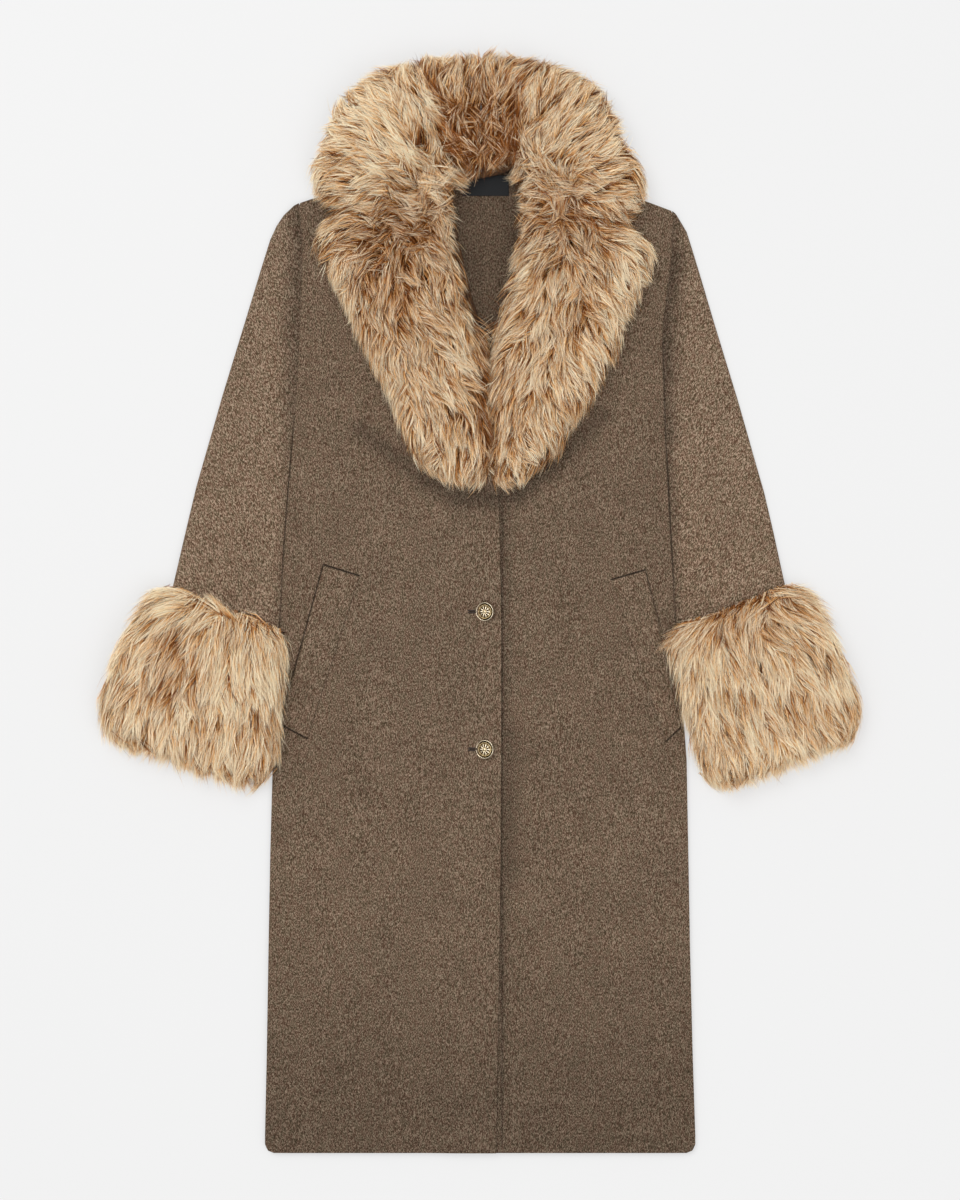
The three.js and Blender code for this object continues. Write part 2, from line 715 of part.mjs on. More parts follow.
for (const [name, half] of Object.entries(halves)) {
  const { back, front, welt } = plans[name];
  add(`back_${name}`, layer(back, backUnderside, cloth), wool);
  const slits = half.sign < 0 ? buttonYs.map(buttonSlit) : [];
  add(`front_${name}`, cut(layer(front, frontUnderside(half), cloth), slits), wool);
  add(`upper_sleeve_${name}`, sleevePiece(half, true), wool);
  add(`under_sleeve_${name}`, sleevePiece(half, false), wool);
  add(`welt_${name}`, layer(welt, weltUnderside(half), weltThickness), wool);
  add(`collar_${name}`, cut(furVolume(collarSections(half), collarCrown), bodySpace), fur);
  const weltSpace = layer(welt, weltUnderside(half), weltThickness, seamGap);
  const cuffSpace = [...bodySpace, weltSpace, ...sleeveSlots(half)];
  add(`cuff_${name}`, cut(furVolume(refine(half.cuff, 1), cuffCrown), cuffSpace), fur);
}

add('button_top', button(buttonYs[0]), metal);
add('button_bottom', button(buttonYs[1]), metal);
add('neck_label', neckLabel(), woven);

export default coat;
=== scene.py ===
import math

import bpy
import numpy as np
from mathutils import Matrix, Vector
from mathutils.bvhtree import BVHTree
from mathutils.kdtree import KDTree


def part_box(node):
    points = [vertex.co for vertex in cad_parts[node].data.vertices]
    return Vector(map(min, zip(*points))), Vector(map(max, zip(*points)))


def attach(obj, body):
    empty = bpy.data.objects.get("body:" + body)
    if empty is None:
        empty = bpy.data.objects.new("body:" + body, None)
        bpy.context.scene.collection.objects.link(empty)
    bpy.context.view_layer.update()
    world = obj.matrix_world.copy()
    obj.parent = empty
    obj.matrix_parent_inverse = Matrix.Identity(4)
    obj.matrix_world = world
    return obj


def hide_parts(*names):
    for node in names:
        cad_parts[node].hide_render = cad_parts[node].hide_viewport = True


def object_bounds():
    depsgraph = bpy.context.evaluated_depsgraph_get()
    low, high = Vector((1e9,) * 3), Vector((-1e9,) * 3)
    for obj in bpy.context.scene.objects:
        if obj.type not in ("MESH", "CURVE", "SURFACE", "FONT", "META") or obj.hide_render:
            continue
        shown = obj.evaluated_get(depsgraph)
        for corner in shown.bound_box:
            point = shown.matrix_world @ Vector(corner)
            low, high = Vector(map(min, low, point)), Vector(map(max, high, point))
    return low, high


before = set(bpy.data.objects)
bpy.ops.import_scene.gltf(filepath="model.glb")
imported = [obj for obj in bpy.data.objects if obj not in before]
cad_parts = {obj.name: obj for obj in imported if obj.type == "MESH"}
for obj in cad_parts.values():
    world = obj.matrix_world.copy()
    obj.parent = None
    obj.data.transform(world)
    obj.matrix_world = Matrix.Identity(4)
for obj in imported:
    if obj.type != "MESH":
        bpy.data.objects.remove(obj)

# A long coat laid flat, seen from straight above. Metres, with the hem towards -Y and the collar towards +Y.
cadLow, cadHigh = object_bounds()
mm = 0.001


def srgb(red, green, blue):
    return tuple(((c / 255 + 0.055) / 1.055) ** 2.4 for c in (red, green, blue)) + (1.0,)


studio = {
    "metresPerPixel": 0.00115,
    "frame": (960, 1200),
    "aim": (-0.0012, 0.004),
    "distance": 4.5,
    "sensor": 36,
    "lamps": (
        ("keyLight", (-1.7, 1.9, 4.2), 3.0, 128),
        ("fillLight", (1.9, -1.9, 4.2), 3.2, 72),
    ),
    "worldStrength": 0.60,
    "floorSize": 80,
    "floorDrop": 0.0004,
    "floorGrey": 0.30,
    "floorGlow": 0.527,
}


def deselectAll():
    for item in bpy.context.selected_objects:
        item.select_set(False)


def makeActive(item):
    deselectAll()
    item.select_set(True)
    bpy.context.view_layer.objects.active = item


def setStudio():
    s = studio
    tall = s["frame"][1] * s["metresPerPixel"]
    bpy.ops.object.camera_add(location=(s["aim"][0], s["aim"][1], s["distance"]), rotation=(0, 0, 0))
    camera = bpy.context.object
    camera.data.sensor_width = s["sensor"]
    camera.data.lens = s["sensor"] * s["distance"] / tall
    bpy.context.scene.camera = camera

    bpy.ops.mesh.primitive_plane_add(size=s["floorSize"], location=(0, 0, -s["floorDrop"]))
    floor = bpy.context.object
    floor.name = "floor"
    floor.data.materials.append(floorMaterial())

    for label, place, size, power in s["lamps"]:
        bpy.ops.object.light_add(type="AREA", location=place)
        lamp = bpy.context.object
        lamp.name = label
        lamp.data.size = size
        lamp.data.energy = power
        lamp.rotation_euler = (-Vector(place)).to_track_quat("-Z", "Y").to_euler()

    world = bpy.data.worlds.new("softRoom")
    world.use_nodes = True
    glow = world.node_tree.nodes["Background"].inputs
    glow["Color"].default_value = (1, 1, 1, 1)
    glow["Strength"].default_value = s["worldStrength"]
    bpy.context.scene.world = world
    bpy.context.scene.view_settings.view_transform = "Standard"


def newMaterial(name, sockets):
    material = bpy.data.materials.new(name)
    material.use_nodes = True
    shader = material.node_tree.nodes["Principled BSDF"]
    for socket, value in sockets.items():
        shader.inputs[socket].default_value = value
    return material, material.node_tree, shader


def floorMaterial():
    return newMaterial("paleFloor", {
        "Roughness": 0.9, "Specular IOR Level": 0.1, "Base Color": (studio["floorGrey"],) * 3 + (1,),
        "Emission Color": (1, 1, 1, 1), "Emission Strength": studio["floorGlow"]})[0]


def feed(tree, socket, value):
    if isinstance(value, bpy.types.NodeSocket):
        tree.links.new(value, socket)
    elif value is not None:
        socket.default_value = value


def addNode(tree, kind, **values):
    node = tree.nodes.new("ShaderNode" + kind)
    for key, value in values.items():
        if key in node.inputs:
            feed(tree, node.inputs[key], value)
        else:
            setattr(node, key, value)
    return node


def mathNode(tree, operation, *values, clamp=False):
    node = addNode(tree, "Math", operation=operation, use_clamp=clamp)
    for socket, value in zip(node.inputs, values):
        feed(tree, socket, value)
    return node.outputs[0]


def vectorNode(tree, operation, *values):
    node = addNode(tree, "VectorMath", operation=operation)
    for socket, value in zip(node.inputs, values):
        feed(tree, socket, value)
    return node.outputs["Value" if operation in ("DOT_PRODUCT", "DISTANCE") else "Vector"]


def noiseNode(tree, vector, scale, detail, roughness=0.5):
    return addNode(tree, "TexNoise", Vector=vector, Scale=scale, Detail=detail, Roughness=roughness)


def mixColour(tree, factor, first, second, blend="MIX"):
    node = addNode(tree, "Mix", data_type="RGBA", blend_type=blend)
    for socket, value in ((node.inputs[0], factor), (node.inputs[6], first), (node.inputs[7], second)):
        feed(tree, socket, value)
    return node.outputs[2]


def rampNode(tree, value, stops):
    node = addNode(tree, "ValToRGB")
    ramp = node.color_ramp
    while len(ramp.elements) < len(stops):
        ramp.elements.new(0.5)
    for element, (place, colour) in zip(ramp.elements, stops):
        element.position = place
        element.color = colour
    tree.links.new(value, node.inputs[0])
    return node.outputs[0]


def newGroup(name, given, made):
    group = bpy.data.node_groups.new(name, "ShaderNodeTree")
    for label, kind in given.items():
        group.interface.new_socket(label, in_out="INPUT", socket_type="NodeSocket" + kind)
    for label in made:
        group.interface.new_socket(label, in_out="OUTPUT", socket_type="NodeSocketFloat")
    return group, group.nodes.new("NodeGroupInput").outputs, group.nodes.new("NodeGroupOutput").inputs


# Fibres drawn out along the cloth, with a coarse and a fine speckle and a slow change of hue.
def buildFlecks():
    group, given, made = newGroup(
        "fibreFlecks", {"Vector": "Vector", "Across": "Float", "Along": "Float"},
        ("Flecks", "Mottle", "Tint", "Height"))
    scale = addNode(group, "CombineXYZ", X=given["Across"], Y=given["Along"], Z=given["Across"]).outputs[0]
    stretched = vectorNode(group, "MULTIPLY", given["Vector"], scale)
    warp = noiseNode(group, stretched, 0.35, 1.0).outputs["Color"]
    shifted = vectorNode(group, "MULTIPLY_ADD", warp, (2.2, 0.5, 1.0), stretched)
    fine = noiseNode(group, shifted, 1.0, 2.0, 0.6).outputs[0]
    other = noiseNode(group, shifted, 1.9, 1.0, 0.6).outputs[0]
    both = mathNode(group, "ADD", mathNode(group, "MULTIPLY", fine, 0.62), mathNode(group, "MULTIPLY", other, 0.38))
    feed(group, made["Flecks"], both)
    feed(group, made["Mottle"], noiseNode(group, given["Vector"], 22.0, 3.0, 0.62).outputs[0])
    feed(group, made["Tint"], noiseNode(group, stretched, 0.33, 1.0).outputs[0])
    feed(group, made["Height"], fine)
    return group


wool = {
    "fibres": ((0.420, srgb(46, 32, 20)), (0.476, srgb(90, 72, 56)), (0.524, srgb(124, 103, 84)),
               (0.580, srgb(188, 166, 144))),
    "tints": ((0.42, srgb(112, 98, 70)), (0.58, srgb(126, 88, 66))),
    "tintShare": 0.24,
    "mottle": 0.28,
    "bump": 0.0008,
    "bodyGrain": (1200, 420),
    "sleeveGrain": (1000, 350),
}


# Painted shade along a line, full on the line and gone at its width.
def buildPaintedShade():
    group, given, made = newGroup(
        "paintedShadeLine", {"Vector": "Vector", "From": "Vector", "To": "Vector", "Width": "Float", "Depth": "Float"},
        ("Mask",))
    flat = vectorNode(group, "MULTIPLY", given["Vector"], (1, 1, 0))
    way = vectorNode(group, "SUBTRACT", given["To"], given["From"])
    gone = vectorNode(group, "SUBTRACT", flat, given["From"])
    reach = vectorNode(group, "DOT_PRODUCT", gone, way)
    share = mathNode(group, "DIVIDE", reach, vectorNode(group, "DOT_PRODUCT", way, way), clamp=True)
    apart = vectorNode(group, "DISTANCE", gone, vectorNode(group, "SCALE", way, None, None, share))
    fade = addNode(group, "MapRange", interpolation_type="SMOOTHSTEP", Value=apart,
                   **{"From Max": given["Width"], "To Min": 1, "To Max": 0}).outputs[0]
    feed(group, made["Mask"], mathNode(group, "MULTIPLY", fade, given["Depth"]))
    return group


def woolMaterial(name, turn, paintedLight, grain, lines):
    material, tree, shader = newMaterial(name, {
        "Roughness": 0.9, "Specular IOR Level": 0.15, "Sheen Weight": 0.12, "Sheen Roughness": 0.5,
        "Sheen Tint": srgb(190, 170, 150)})
    place = addNode(tree, "TexCoord").outputs["Object"]
    turned = addNode(tree, "Mapping", Vector=place, Rotation=(0, 0, math.radians(turn))).outputs[0]
    flecks = addNode(tree, "Group", node_tree=fleckGroup, Vector=turned, Across=grain[0], Along=grain[1]).outputs
    body = rampNode(tree, flecks["Flecks"], wool["fibres"])
    tinted = mixColour(tree, wool["tintShare"], body, rampNode(tree, flecks["Tint"], wool["tints"]))
    # The piece's level is painted light and shade, with a random mottle on it.
    shade = mathNode(tree, "MULTIPLY_ADD", flecks["Mottle"], wool["mottle"], paintedLight - wool["mottle"] / 2)
    # The lines lay painted shade and shadow into the colour along seams, edges and openings, and towards the hem.
    paintedShadeMask = None
    for x0, y0, x1, y1, width, depth in lines:
        mask = addNode(tree, "Group", node_tree=paintedShadeGroup, Vector=place, From=(x0 * mm, y0 * mm, 0),
                       To=(x1 * mm, y1 * mm, 0), Width=width * mm, Depth=depth).outputs["Mask"]
        paintedShadeMask = mask if paintedShadeMask is None else mathNode(tree, "MAXIMUM", paintedShadeMask, mask)
    if paintedShadeMask is not None:
        shade = mathNode(tree, "MULTIPLY", shade, mathNode(tree, "SUBTRACT", 1.0, paintedShadeMask))
    feed(tree, shader.inputs["Base Color"], mixColour(tree, 1.0, tinted, shade, "MULTIPLY"))
    bump = addNode(tree, "Bump", Strength=0.5, Distance=wool["bump"], Height=flecks["Height"])
    feed(tree, shader.inputs["Normal"], bump.outputs[0])
    return material


# Colours from root to tip, with dark roots partly their own colour and partly painted shade deep in the pile, a warm
# cast, and the dark of single coarse hairs, also used as painted shade at lock edges and between locks.
fur = {
    "shades": ((0.0, srgb(44, 20, 6)), (0.28, srgb(129, 69, 25)), (0.52, srgb(208, 146, 77)),
               (0.74, srgb(252, 211, 153)), (1.0, srgb(255, 243, 212))),
    "warm": srgb(180, 103, 45),
    "guardHairAndShade": srgb(73, 37, 14),
    "curve": 1.6,
    "rise": 0.69,
}


# Tone rises from root to tip; the darker roots are partly their own colour and partly painted shade deep in the pile.
def buildPileTone():
    group, given, made = newGroup("pileTone", {"Along": "Float", "Tone": "Float"}, ("Place",))
    rise = mathNode(group, "MULTIPLY", mathNode(group, "POWER", given["Along"], fur["curve"]), fur["rise"])
    feed(group, made["Place"], mathNode(group, "ADD", rise, given["Tone"], clamp=True))
    return group


def furMaterial(name):
    material, tree, shader = newMaterial(name, {"Roughness": 0.55, "Specular IOR Level": 0.14})
    along, tone, guardHairAndShade, warm = (
        addNode(tree, "Attribute", attribute_name=key).outputs["Fac"] for key in ("along", "tone", "guardHairAndShade", "warm"))
    place = addNode(tree, "Group", node_tree=pileGroup, Along=along, Tone=tone).outputs["Place"]
    warmed = mixColour(tree, warm, rampNode(tree, place, fur["shades"]), fur["warm"])
    # The dark hairs, coarse ones and painted shade alike, take the dark colour most at their tips.
    dark = mathNode(tree, "MULTIPLY", guardHairAndShade, mathNode(tree, "MULTIPLY_ADD", along, 0.6, 0.4), clamp=True)
    feed(tree, shader.inputs["Base Color"], mixColour(tree, dark, warmed, fur["guardHairAndShade"]))
    return material


def speckledMaterial(name, roughness, scale, detail, dark, light):
    material, tree, shader = newMaterial(name, {"Roughness": roughness})
    noise = noiseNode(tree, addNode(tree, "TexCoord").outputs["Object"], scale, detail).outputs[0]
    feed(tree, shader.inputs["Base Color"], rampNode(tree, noise, ((0.3, dark), (0.7, light))))
    return material


def pieceName(node, ending):
    return node.replace("_", " ").title().replace(" ", "") + ending


def newMesh(name, vertices, faces):
    mesh = bpy.data.meshes.new(name)
    mesh.from_pydata(vertices, [], faces)
    return mesh


def newPiece(name, mesh):
    piece = bpy.data.objects.new(name, mesh)
    bpy.context.scene.collection.objects.link(piece)
    return piece


def weld(piece, distance, faceOut=False):
    makeActive(piece)
    bpy.ops.object.mode_set(mode="EDIT")
    bpy.ops.mesh.select_all(action="SELECT")
    bpy.ops.mesh.remove_doubles(threshold=distance)
    if faceOut:
        bpy.ops.mesh.normals_make_consistent(inside=False)
    bpy.ops.object.mode_set(mode="OBJECT")


def settle(piece, node, material):
    piece.data.materials.append(material)
    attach(piece, "root")
    if node:
        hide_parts(node)


def smoothByAngle(piece, degrees):
    makeActive(piece)
    bpy.ops.object.shade_smooth_by_angle(angle=math.radians(degrees))


def vertexArray(piece, field="co"):
    values = np.empty(len(piece.data.vertices) * 3)
    piece.data.vertices.foreach_get(field, values)
    return values.reshape(-1, 3)


def setVertices(piece, points):
    piece.data.vertices.foreach_set("co", points.reshape(-1))
    piece.data.update()


def triangleCount(piece):
    return sum(len(face.vertices) - 2 for face in piece.data.polygons)


def copyNode(node, name):
    piece = bpy.data.objects[node].copy()
    piece.data = piece.data.copy()
    piece.name = name
    piece.data.name = name
    for key in list(piece.keys()):
        del piece[key]
    bpy.context.scene.collection.objects.link(piece)
    piece.parent = None
    piece.data.materials.clear()
    weld(piece, 0.02 * mm)
    return piece


def useModifier(piece, kind, **values):
    makeActive(piece)
    modifier = piece.modifiers.new(kind.lower(), kind)
    for key, value in values.items():
        setattr(modifier, key, value)
    bpy.ops.object.modifier_apply(modifier=modifier.name)


# Painted shade along seams and edges, in the wool's colour: from x, y to x, y, width and depth, in millimetres.
# Painted shadow in the crease along each armhole seam, on the fronts and the sleeves.
leftArmholeSeamShadow = (
    (-206, 430, -206, 400, 2.4, 0.30),
    (-206, 400, -210, 300, 2.4, 0.34),
    (-210, 300, -214, 225, 2.4, 0.38),
    (-214, 225, -224, 100, 2.2, 0.42),
    (-224, 100, -233, -40, 2.0, 0.42),
)
rightArmholeSeamShadow = (
    (220.7, 430, 219.4, 400, 2.4, 0.34),
    (219.4, 400, 211, 330, 2.4, 0.40),
    (211, 330, 209.1, 300, 2.6, 0.58),
    (209.1, 300, 212.4, 190, 2.8, 0.66),
    (212.4, 190, 217, 100, 2.6, 0.60),
    (217, 100, 225, -40, 2.4, 0.52),
)
# Painted shadow in the gaps round the pocket welts and in the pocket mouths, on the fronts and the welts.
leftPocketShadow = (
    (-180.5, 44.5, -140, 32, 2.1, 0.86),
    (-181.5, 43.5, -216, -82, 1.8, 0.72),
    (-216, -82, -231, -137.5, 1.5, 0.4),
    (-231, -138.5, -200, -155, 2.1, 0.82),
)
rightPocketShadow = (
    (150, 27.5, 188, 38.5, 2.0, 0.82),
    (189, 37.5, 206, -26, 1.5, 0.50),
    (212, -158.5, 229, -143, 1.9, 0.7),
)
# Painted shadow under the lapel fur and in the buttonhole slits; the cloth darker towards the hem and along it.
leftFrontShade = (
    (-140, 200, -66, 144, 20, 0.34),
    (-66, 144, -30, 124, 24, 0.48),
    (-30, 124, 20, 122, 26, 0.52),
    (-248, -640, 20, -640, 320, 0.26),
    (-248, -634, 20, -634, 7, 0.25),
    (-13, -9.3, -5, -9.3, 0.9, 0.9),
    (-13, -167.3, -5, -167.3, 0.9, 0.9),
)
# Painted shadow beside the overlapping front's edge, under the lapel fur and under the slits; darker towards the hem.
rightFrontShade = (
    (26, 120, 24, -620, 15, 0.26),
    (24.5, 120, 24, -620, 4.5, 0.5),
    (26, -150, 26, -320, 30, 0.32),
    (140, 215, 80, 158, 20, 0.34),
    (80, 158, 44, 128, 24, 0.48),
    (44, 128, 20, 122, 26, 0.52),
    (20, -640, 246, -640, 320, 0.26),
    (20, -634, 246, -634, 7, 0.25),
    (-15, -9.3, 4, -9.3, 3.5, 0.9),
    (-15, -167.3, 4, -167.3, 3.5, 0.9),
)
# Broad painted shade on the sleeves beside each armhole, where the sleeve dips under the body's edge.
leftArmholeShade = (
    (-209, 452, -207, 400, 24, 0.50),
    (-207, 400, -211, 300, 30, 0.46),
    (-211, 300, -215, 225, 26, 0.42),
    (-215, 225, -219, 170, 20, 0.30),
    (-219, 170, -233, -40, 14, 0.18),
)
rightArmholeShade = (
    (220, 445, 219, 400, 22, 0.46),
    (219, 400, 209, 330, 30, 0.62),
    (209, 330, 209, 260, 30, 0.62),
    (209, 260, 212, 190, 24, 0.50),
    (212, 190, 217, 100, 18, 0.36),
    (217, 100, 224, -40, 14, 0.28),
)
# Of each piece: how its fibres turn in degrees, its painted light level (sleeves lit brighter, the back inside the
# neck in shade), how finely it is cut up (0 is laid out anew), its flat cut in metres and square metres, what it
# lies on, and the painted shade along its lines.
clothPieces = {
    "back_left": {"turn": 0, "paintedLight": 0.46, "cuts": 1, "flat": (0.26, 1.14), "area": 0.258, "on": (), "lines": ()},
    "back_right": {"turn": 0, "paintedLight": 0.46, "cuts": 1, "flat": (0.26, 1.14), "area": 0.255, "on": (), "lines": ()},
    "front_left": {
        "turn": 0, "paintedLight": 0.675, "cuts": 0, "flat": (0.28, 1.14), "area": 0.271,
        "on": ("back_left", "front_right"), "lines": leftPocketShadow + leftFrontShade + leftArmholeSeamShadow},
    "front_right": {
        "turn": 0, "paintedLight": 0.665, "cuts": 0, "flat": (0.27, 1.14), "area": 0.258,
        "on": ("back_left", "back_right"), "lines": rightPocketShadow + rightFrontShade + rightArmholeSeamShadow},
    "under_sleeve_left": {
        "turn": -17, "paintedLight": 0.86, "cuts": 2, "flat": (0.13, 0.40), "area": 0.039,
        "on": (), "lines": leftArmholeShade + leftArmholeSeamShadow},
    "under_sleeve_right": {
        "turn": 17, "paintedLight": 0.86, "cuts": 2, "flat": (0.11, 0.36), "area": 0.030,
        "on": (), "lines": rightArmholeShade + rightArmholeSeamShadow},
    "upper_sleeve_left": {
        "turn": -17, "paintedLight": 0.895, "cuts": 2, "flat": (0.20, 0.64), "area": 0.082,
        "on": ("under_sleeve_left",), "lines": leftArmholeShade + leftArmholeSeamShadow},
    "upper_sleeve_right": {
        "turn": 17, "paintedLight": 0.895, "cuts": 2, "flat": (0.20, 0.64), "area": 0.088,
        "on": ("under_sleeve_right",), "lines": rightArmholeShade + rightArmholeSeamShadow},
    "welt_left": {
        "turn": 17, "paintedLight": 0.70, "cuts": 2, "flat": (0.042, 0.19), "area": 0.0075,
        "on": ("front_left",), "lines": leftPocketShadow},
    "welt_right": {
        "turn": -15, "paintedLight": 0.70, "cuts": 2, "flat": (0.042, 0.19), "area": 0.006,
        "on": ("front_right",), "lines": rightPocketShadow},
}


# Soft troughs and ridges in the laid cloth: from x, y to x, y, width and height, in millimetres.
drape = (
    (-200, 330, -165, 150, 26, -0.9),
    (-150, 200, -175, -20, 34, 0.8),
    (-120, -60, -135, -330, 40, -0.7),
    (-60, -190, -70, -560, 46, 0.8),
    (-200, -260, -205, -590, 30, 0.7),
    (-150, -420, -160, -625, 26, -0.6),
    (195, 340, 165, 160, 26, -0.9),
    (120, 120, 150, -90, 36, 0.8),
    (90, -120, 96, -420, 42, -0.8),
    (170, -230, 182, -600, 34, 0.7),
    (60, -380, 64, -625, 30, 0.6),
    (130, -460, 136, -628, 22, -0.5),
)
sleeveCreases = (
    (-222, 300, -262, 170, 13, -1.0),
    (-226, 250, -300, 40, 18, 0.7),
    (-250, 190, -292, 70, 14, -0.8),
    (-300, 190, -322, 60, 16, 0.5),
    (217, 300, 262, 170, 14, -1.2),
    (222, 240, 290, 40, 18, 0.7),
    (246, 180, 286, 60, 14, -0.8),
    (300, 180, 320, 50, 16, 0.5),
)


def creasesAt(table, x, y):
    height = np.zeros_like(x)
    for x0, y0, x1, y1, width, rise in table:
        start = np.array([x0, y0]) * mm
        way = np.array([x1 - x0, y1 - y0]) * mm
        held = (((x - start[0]) * way[0] + (y - start[1]) * way[1]) / (way @ way)).clip(0, 1)
        apart = np.hypot(x - start[0] - held * way[0], y - start[1] - held * way[1])
        fade = 0.35 + 0.65 * np.sin(math.pi * (0.12 + 0.76 * held))
        height += rise * mm * np.exp(-(apart / (width * mm)) ** 2) * fade
    return height


def outlineRow(points, corners, y):
    xs = []
    for a, b in ((0, 1), (1, 2), (2, 0)):
        first, second = points[corners[:, a]], points[corners[:, b]]
        crosses = (first[:, 1] - y) * (second[:, 1] - y) < 0
        first, second = first[crosses], second[crosses]
        share = (y - first[:, 1]) / (second[:, 1] - first[:, 1])
        xs.append(first[:, 0] + share * (second[:, 0] - first[:, 0]))
    xs = np.concatenate(xs)
    return xs.min(), xs.max()


frontGrid = {
    "row": 0.006,
    "fineRow": 0.003,
    "fineAbove": 0.43,
    "column": 0.0065,
    "foot": (0.00002, 0.0006, 0.0014, 0.0026, 0.0044, 0.007, 0.010),
    "firstRow": 0.014,
    "edge": (0, 0.0012, 0.0034, 0.0068),
    "inset": 0.0005,
    "ease": 0.012,
}


def heightRow(tree, xs, y, upwards):
    heights = np.full(len(xs), np.nan)
    for index, x in enumerate(xs):
        start = Vector((x, y, -0.01 if upwards else 0.1))
        hit = tree.ray_cast(start, Vector((0, 0, 1 if upwards else -1)))
        if hit[0] is not None:
            heights[index] = hit[0][2]
    known = ~np.isnan(heights)
    return np.interp(xs, xs[known], heights[known])


# A front laid out again as an even grid of cloth inside its outline, so that creases show in it.
def gridPanel(node, name):
    g = frontGrid
    points, corners = nodeArrays(node)
    tree = treeOf([node])
    low, high = points[:, 1].min(), points[:, 1].max()
    rows = list(low + np.array(g["foot"])) + list(np.arange(low + g["firstRow"], g["fineAbove"], g["row"]))
    rows += list(np.arange(rows[-1] + g["fineRow"], high - 0.001, g["fineRow"])) + [high - 0.0002]
    widest = np.ptp(points[:, 0])
    edge = np.array(g["edge"]) / widest
    count = int(widest / g["column"])
    stops = np.concatenate([edge, np.linspace(edge[-1], 1 - edge[-1], count)[1:-1], 1 - edge[::-1]])
    upper, lower = [], []
    for y in rows:
        left, right = outlineRow(points, corners, y)
        xs = left + (right - left) * stops
        ys = np.full(len(xs), y)
        inset = min(g["inset"], (right - left) * 0.2)
        inner = xs.clip(left + inset, right - inset)
        inside = min(max(y, low + g["inset"]), high - g["inset"] * 2)
        over = heightRow(tree, inner, inside, False)
        under = heightRow(tree, inner, inside, True)
        ease = np.minimum(1, np.minimum(xs - left, right - xs) / g["ease"]) * min(1, (y - low) / g["ease"] + 0.25)
        move = creasesAt(drape, xs, ys) * ease
        upper.append(np.stack([xs, ys, over + move], 1))
        lower.append(np.stack([xs, ys, under + np.maximum(move, 0)], 1))
    at = np.arange(2 * len(rows) * len(stops)).reshape(2, len(rows), len(stops))
    faces = np.concatenate([np.stack(quad, -1).reshape(-1, 4) for quad in (
        (at[0, :-1, :-1], at[0, :-1, 1:], at[0, 1:, 1:], at[0, 1:, :-1]),
        (at[1, 1:, :-1], at[1, 1:, 1:], at[1, :-1, 1:], at[1, :-1, :-1]),
        (at[0, 1:, 0], at[1, 1:, 0], at[1, :-1, 0], at[0, :-1, 0]),
        (at[0, :-1, -1], at[1, :-1, -1], at[1, 1:, -1], at[0, 1:, -1]),
        (at[0, 0, :-1], at[1, 0, :-1], at[1, 0, 1:], at[0, 0, 1:]),
        (at[0, -1, 1:], at[1, -1, 1:], at[1, -1, :-1], at[0, -1, :-1]))])
    piece = newPiece(name, newMesh(name, np.concatenate(upper + lower).tolist(), faces.tolist()))
    weld(piece, 0.05 * mm, faceOut=True)
    return piece


def copyPanel(node, name, cuts):
    piece = copyNode(node, name)
    bpy.ops.object.mode_set(mode="EDIT")
    bpy.ops.mesh.select_all(action="SELECT")
    bpy.ops.mesh.tris_convert_to_quads(face_threshold=math.radians(12), shape_threshold=math.radians(60))
    bpy.ops.mesh.subdivide(number_cuts=cuts)
    bpy.ops.object.mode_set(mode="OBJECT")
    return piece


# Neighbouring pieces are sewn edge to edge, so each edge is let out by half of the gap between their solids,
# and by more where three of them meet: x, y and reach in millimetres.
seams = {"letOut": 0.28, "more": 1.3, "meetings": ((-216, 218, 16), (215, 178, 16), (223, -10, 34), (-230, -10, 34))}


def closeSeams(piece):
    points, normals = vertexArray(piece), vertexArray(piece, "normal")
    out = np.full(len(points), seams["letOut"])
    for x, y, reach in seams["meetings"]:
        apart = np.hypot(points[:, 0] / mm - x, points[:, 1] / mm - y)
        out += seams["more"] * (1 - apart / reach).clip(0, 0.5) * 2
    points[:, :2] += normals[:, :2] * out[:, None] * mm
    setVertices(piece, points)


def creaseSleeve(piece):
    points = vertexArray(piece)
    top = vertexArray(piece, "normal")[:, 2] > 0.6
    points[top, 2] += creasesAt(sleeveCreases, points[top, 0], points[top, 1])
    setVertices(piece, points)


buttonhole = {
    "places": (-9.3, -167.3),
    "outline": ((-14.5, 0), (-11, 0.4), (-3, 0.5), (1.6, 1.1), (2.6, 2.0), (6.0, 2.0), (8, 1.0), (10.3, 0)),
    "stitchFrom": -14.8,
    "stitchStep": 0.62,
    "stitches": 14,
    "stitchAside": 1.25,
    "stitchRadius": 0.32,
    "stitchLength": 1.7,
    "stitchRise": 0.1,
}


def cutButtonholes(piece):
    upper = list(buttonhole["outline"])
    ring = upper + [(x, -y) for x, y in reversed(upper[1:-1])]
    count = len(ring)
    faces = [tuple(range(count))[::-1], tuple(range(count, 2 * count))]
    faces += [(i, (i + 1) % count, count + (i + 1) % count, count + i) for i in range(count)]
    for y in buttonhole["places"]:
        corners = [(px * mm, (py + y) * mm, height) for height in (0.0, 0.02) for px, py in ring]
        cutter = newPiece("slitCutter", newMesh("slitCutter", corners, faces))
        useModifier(piece, "BOOLEAN", object=cutter, operation="DIFFERENCE", solver="EXACT")
        bpy.data.objects.remove(cutter)


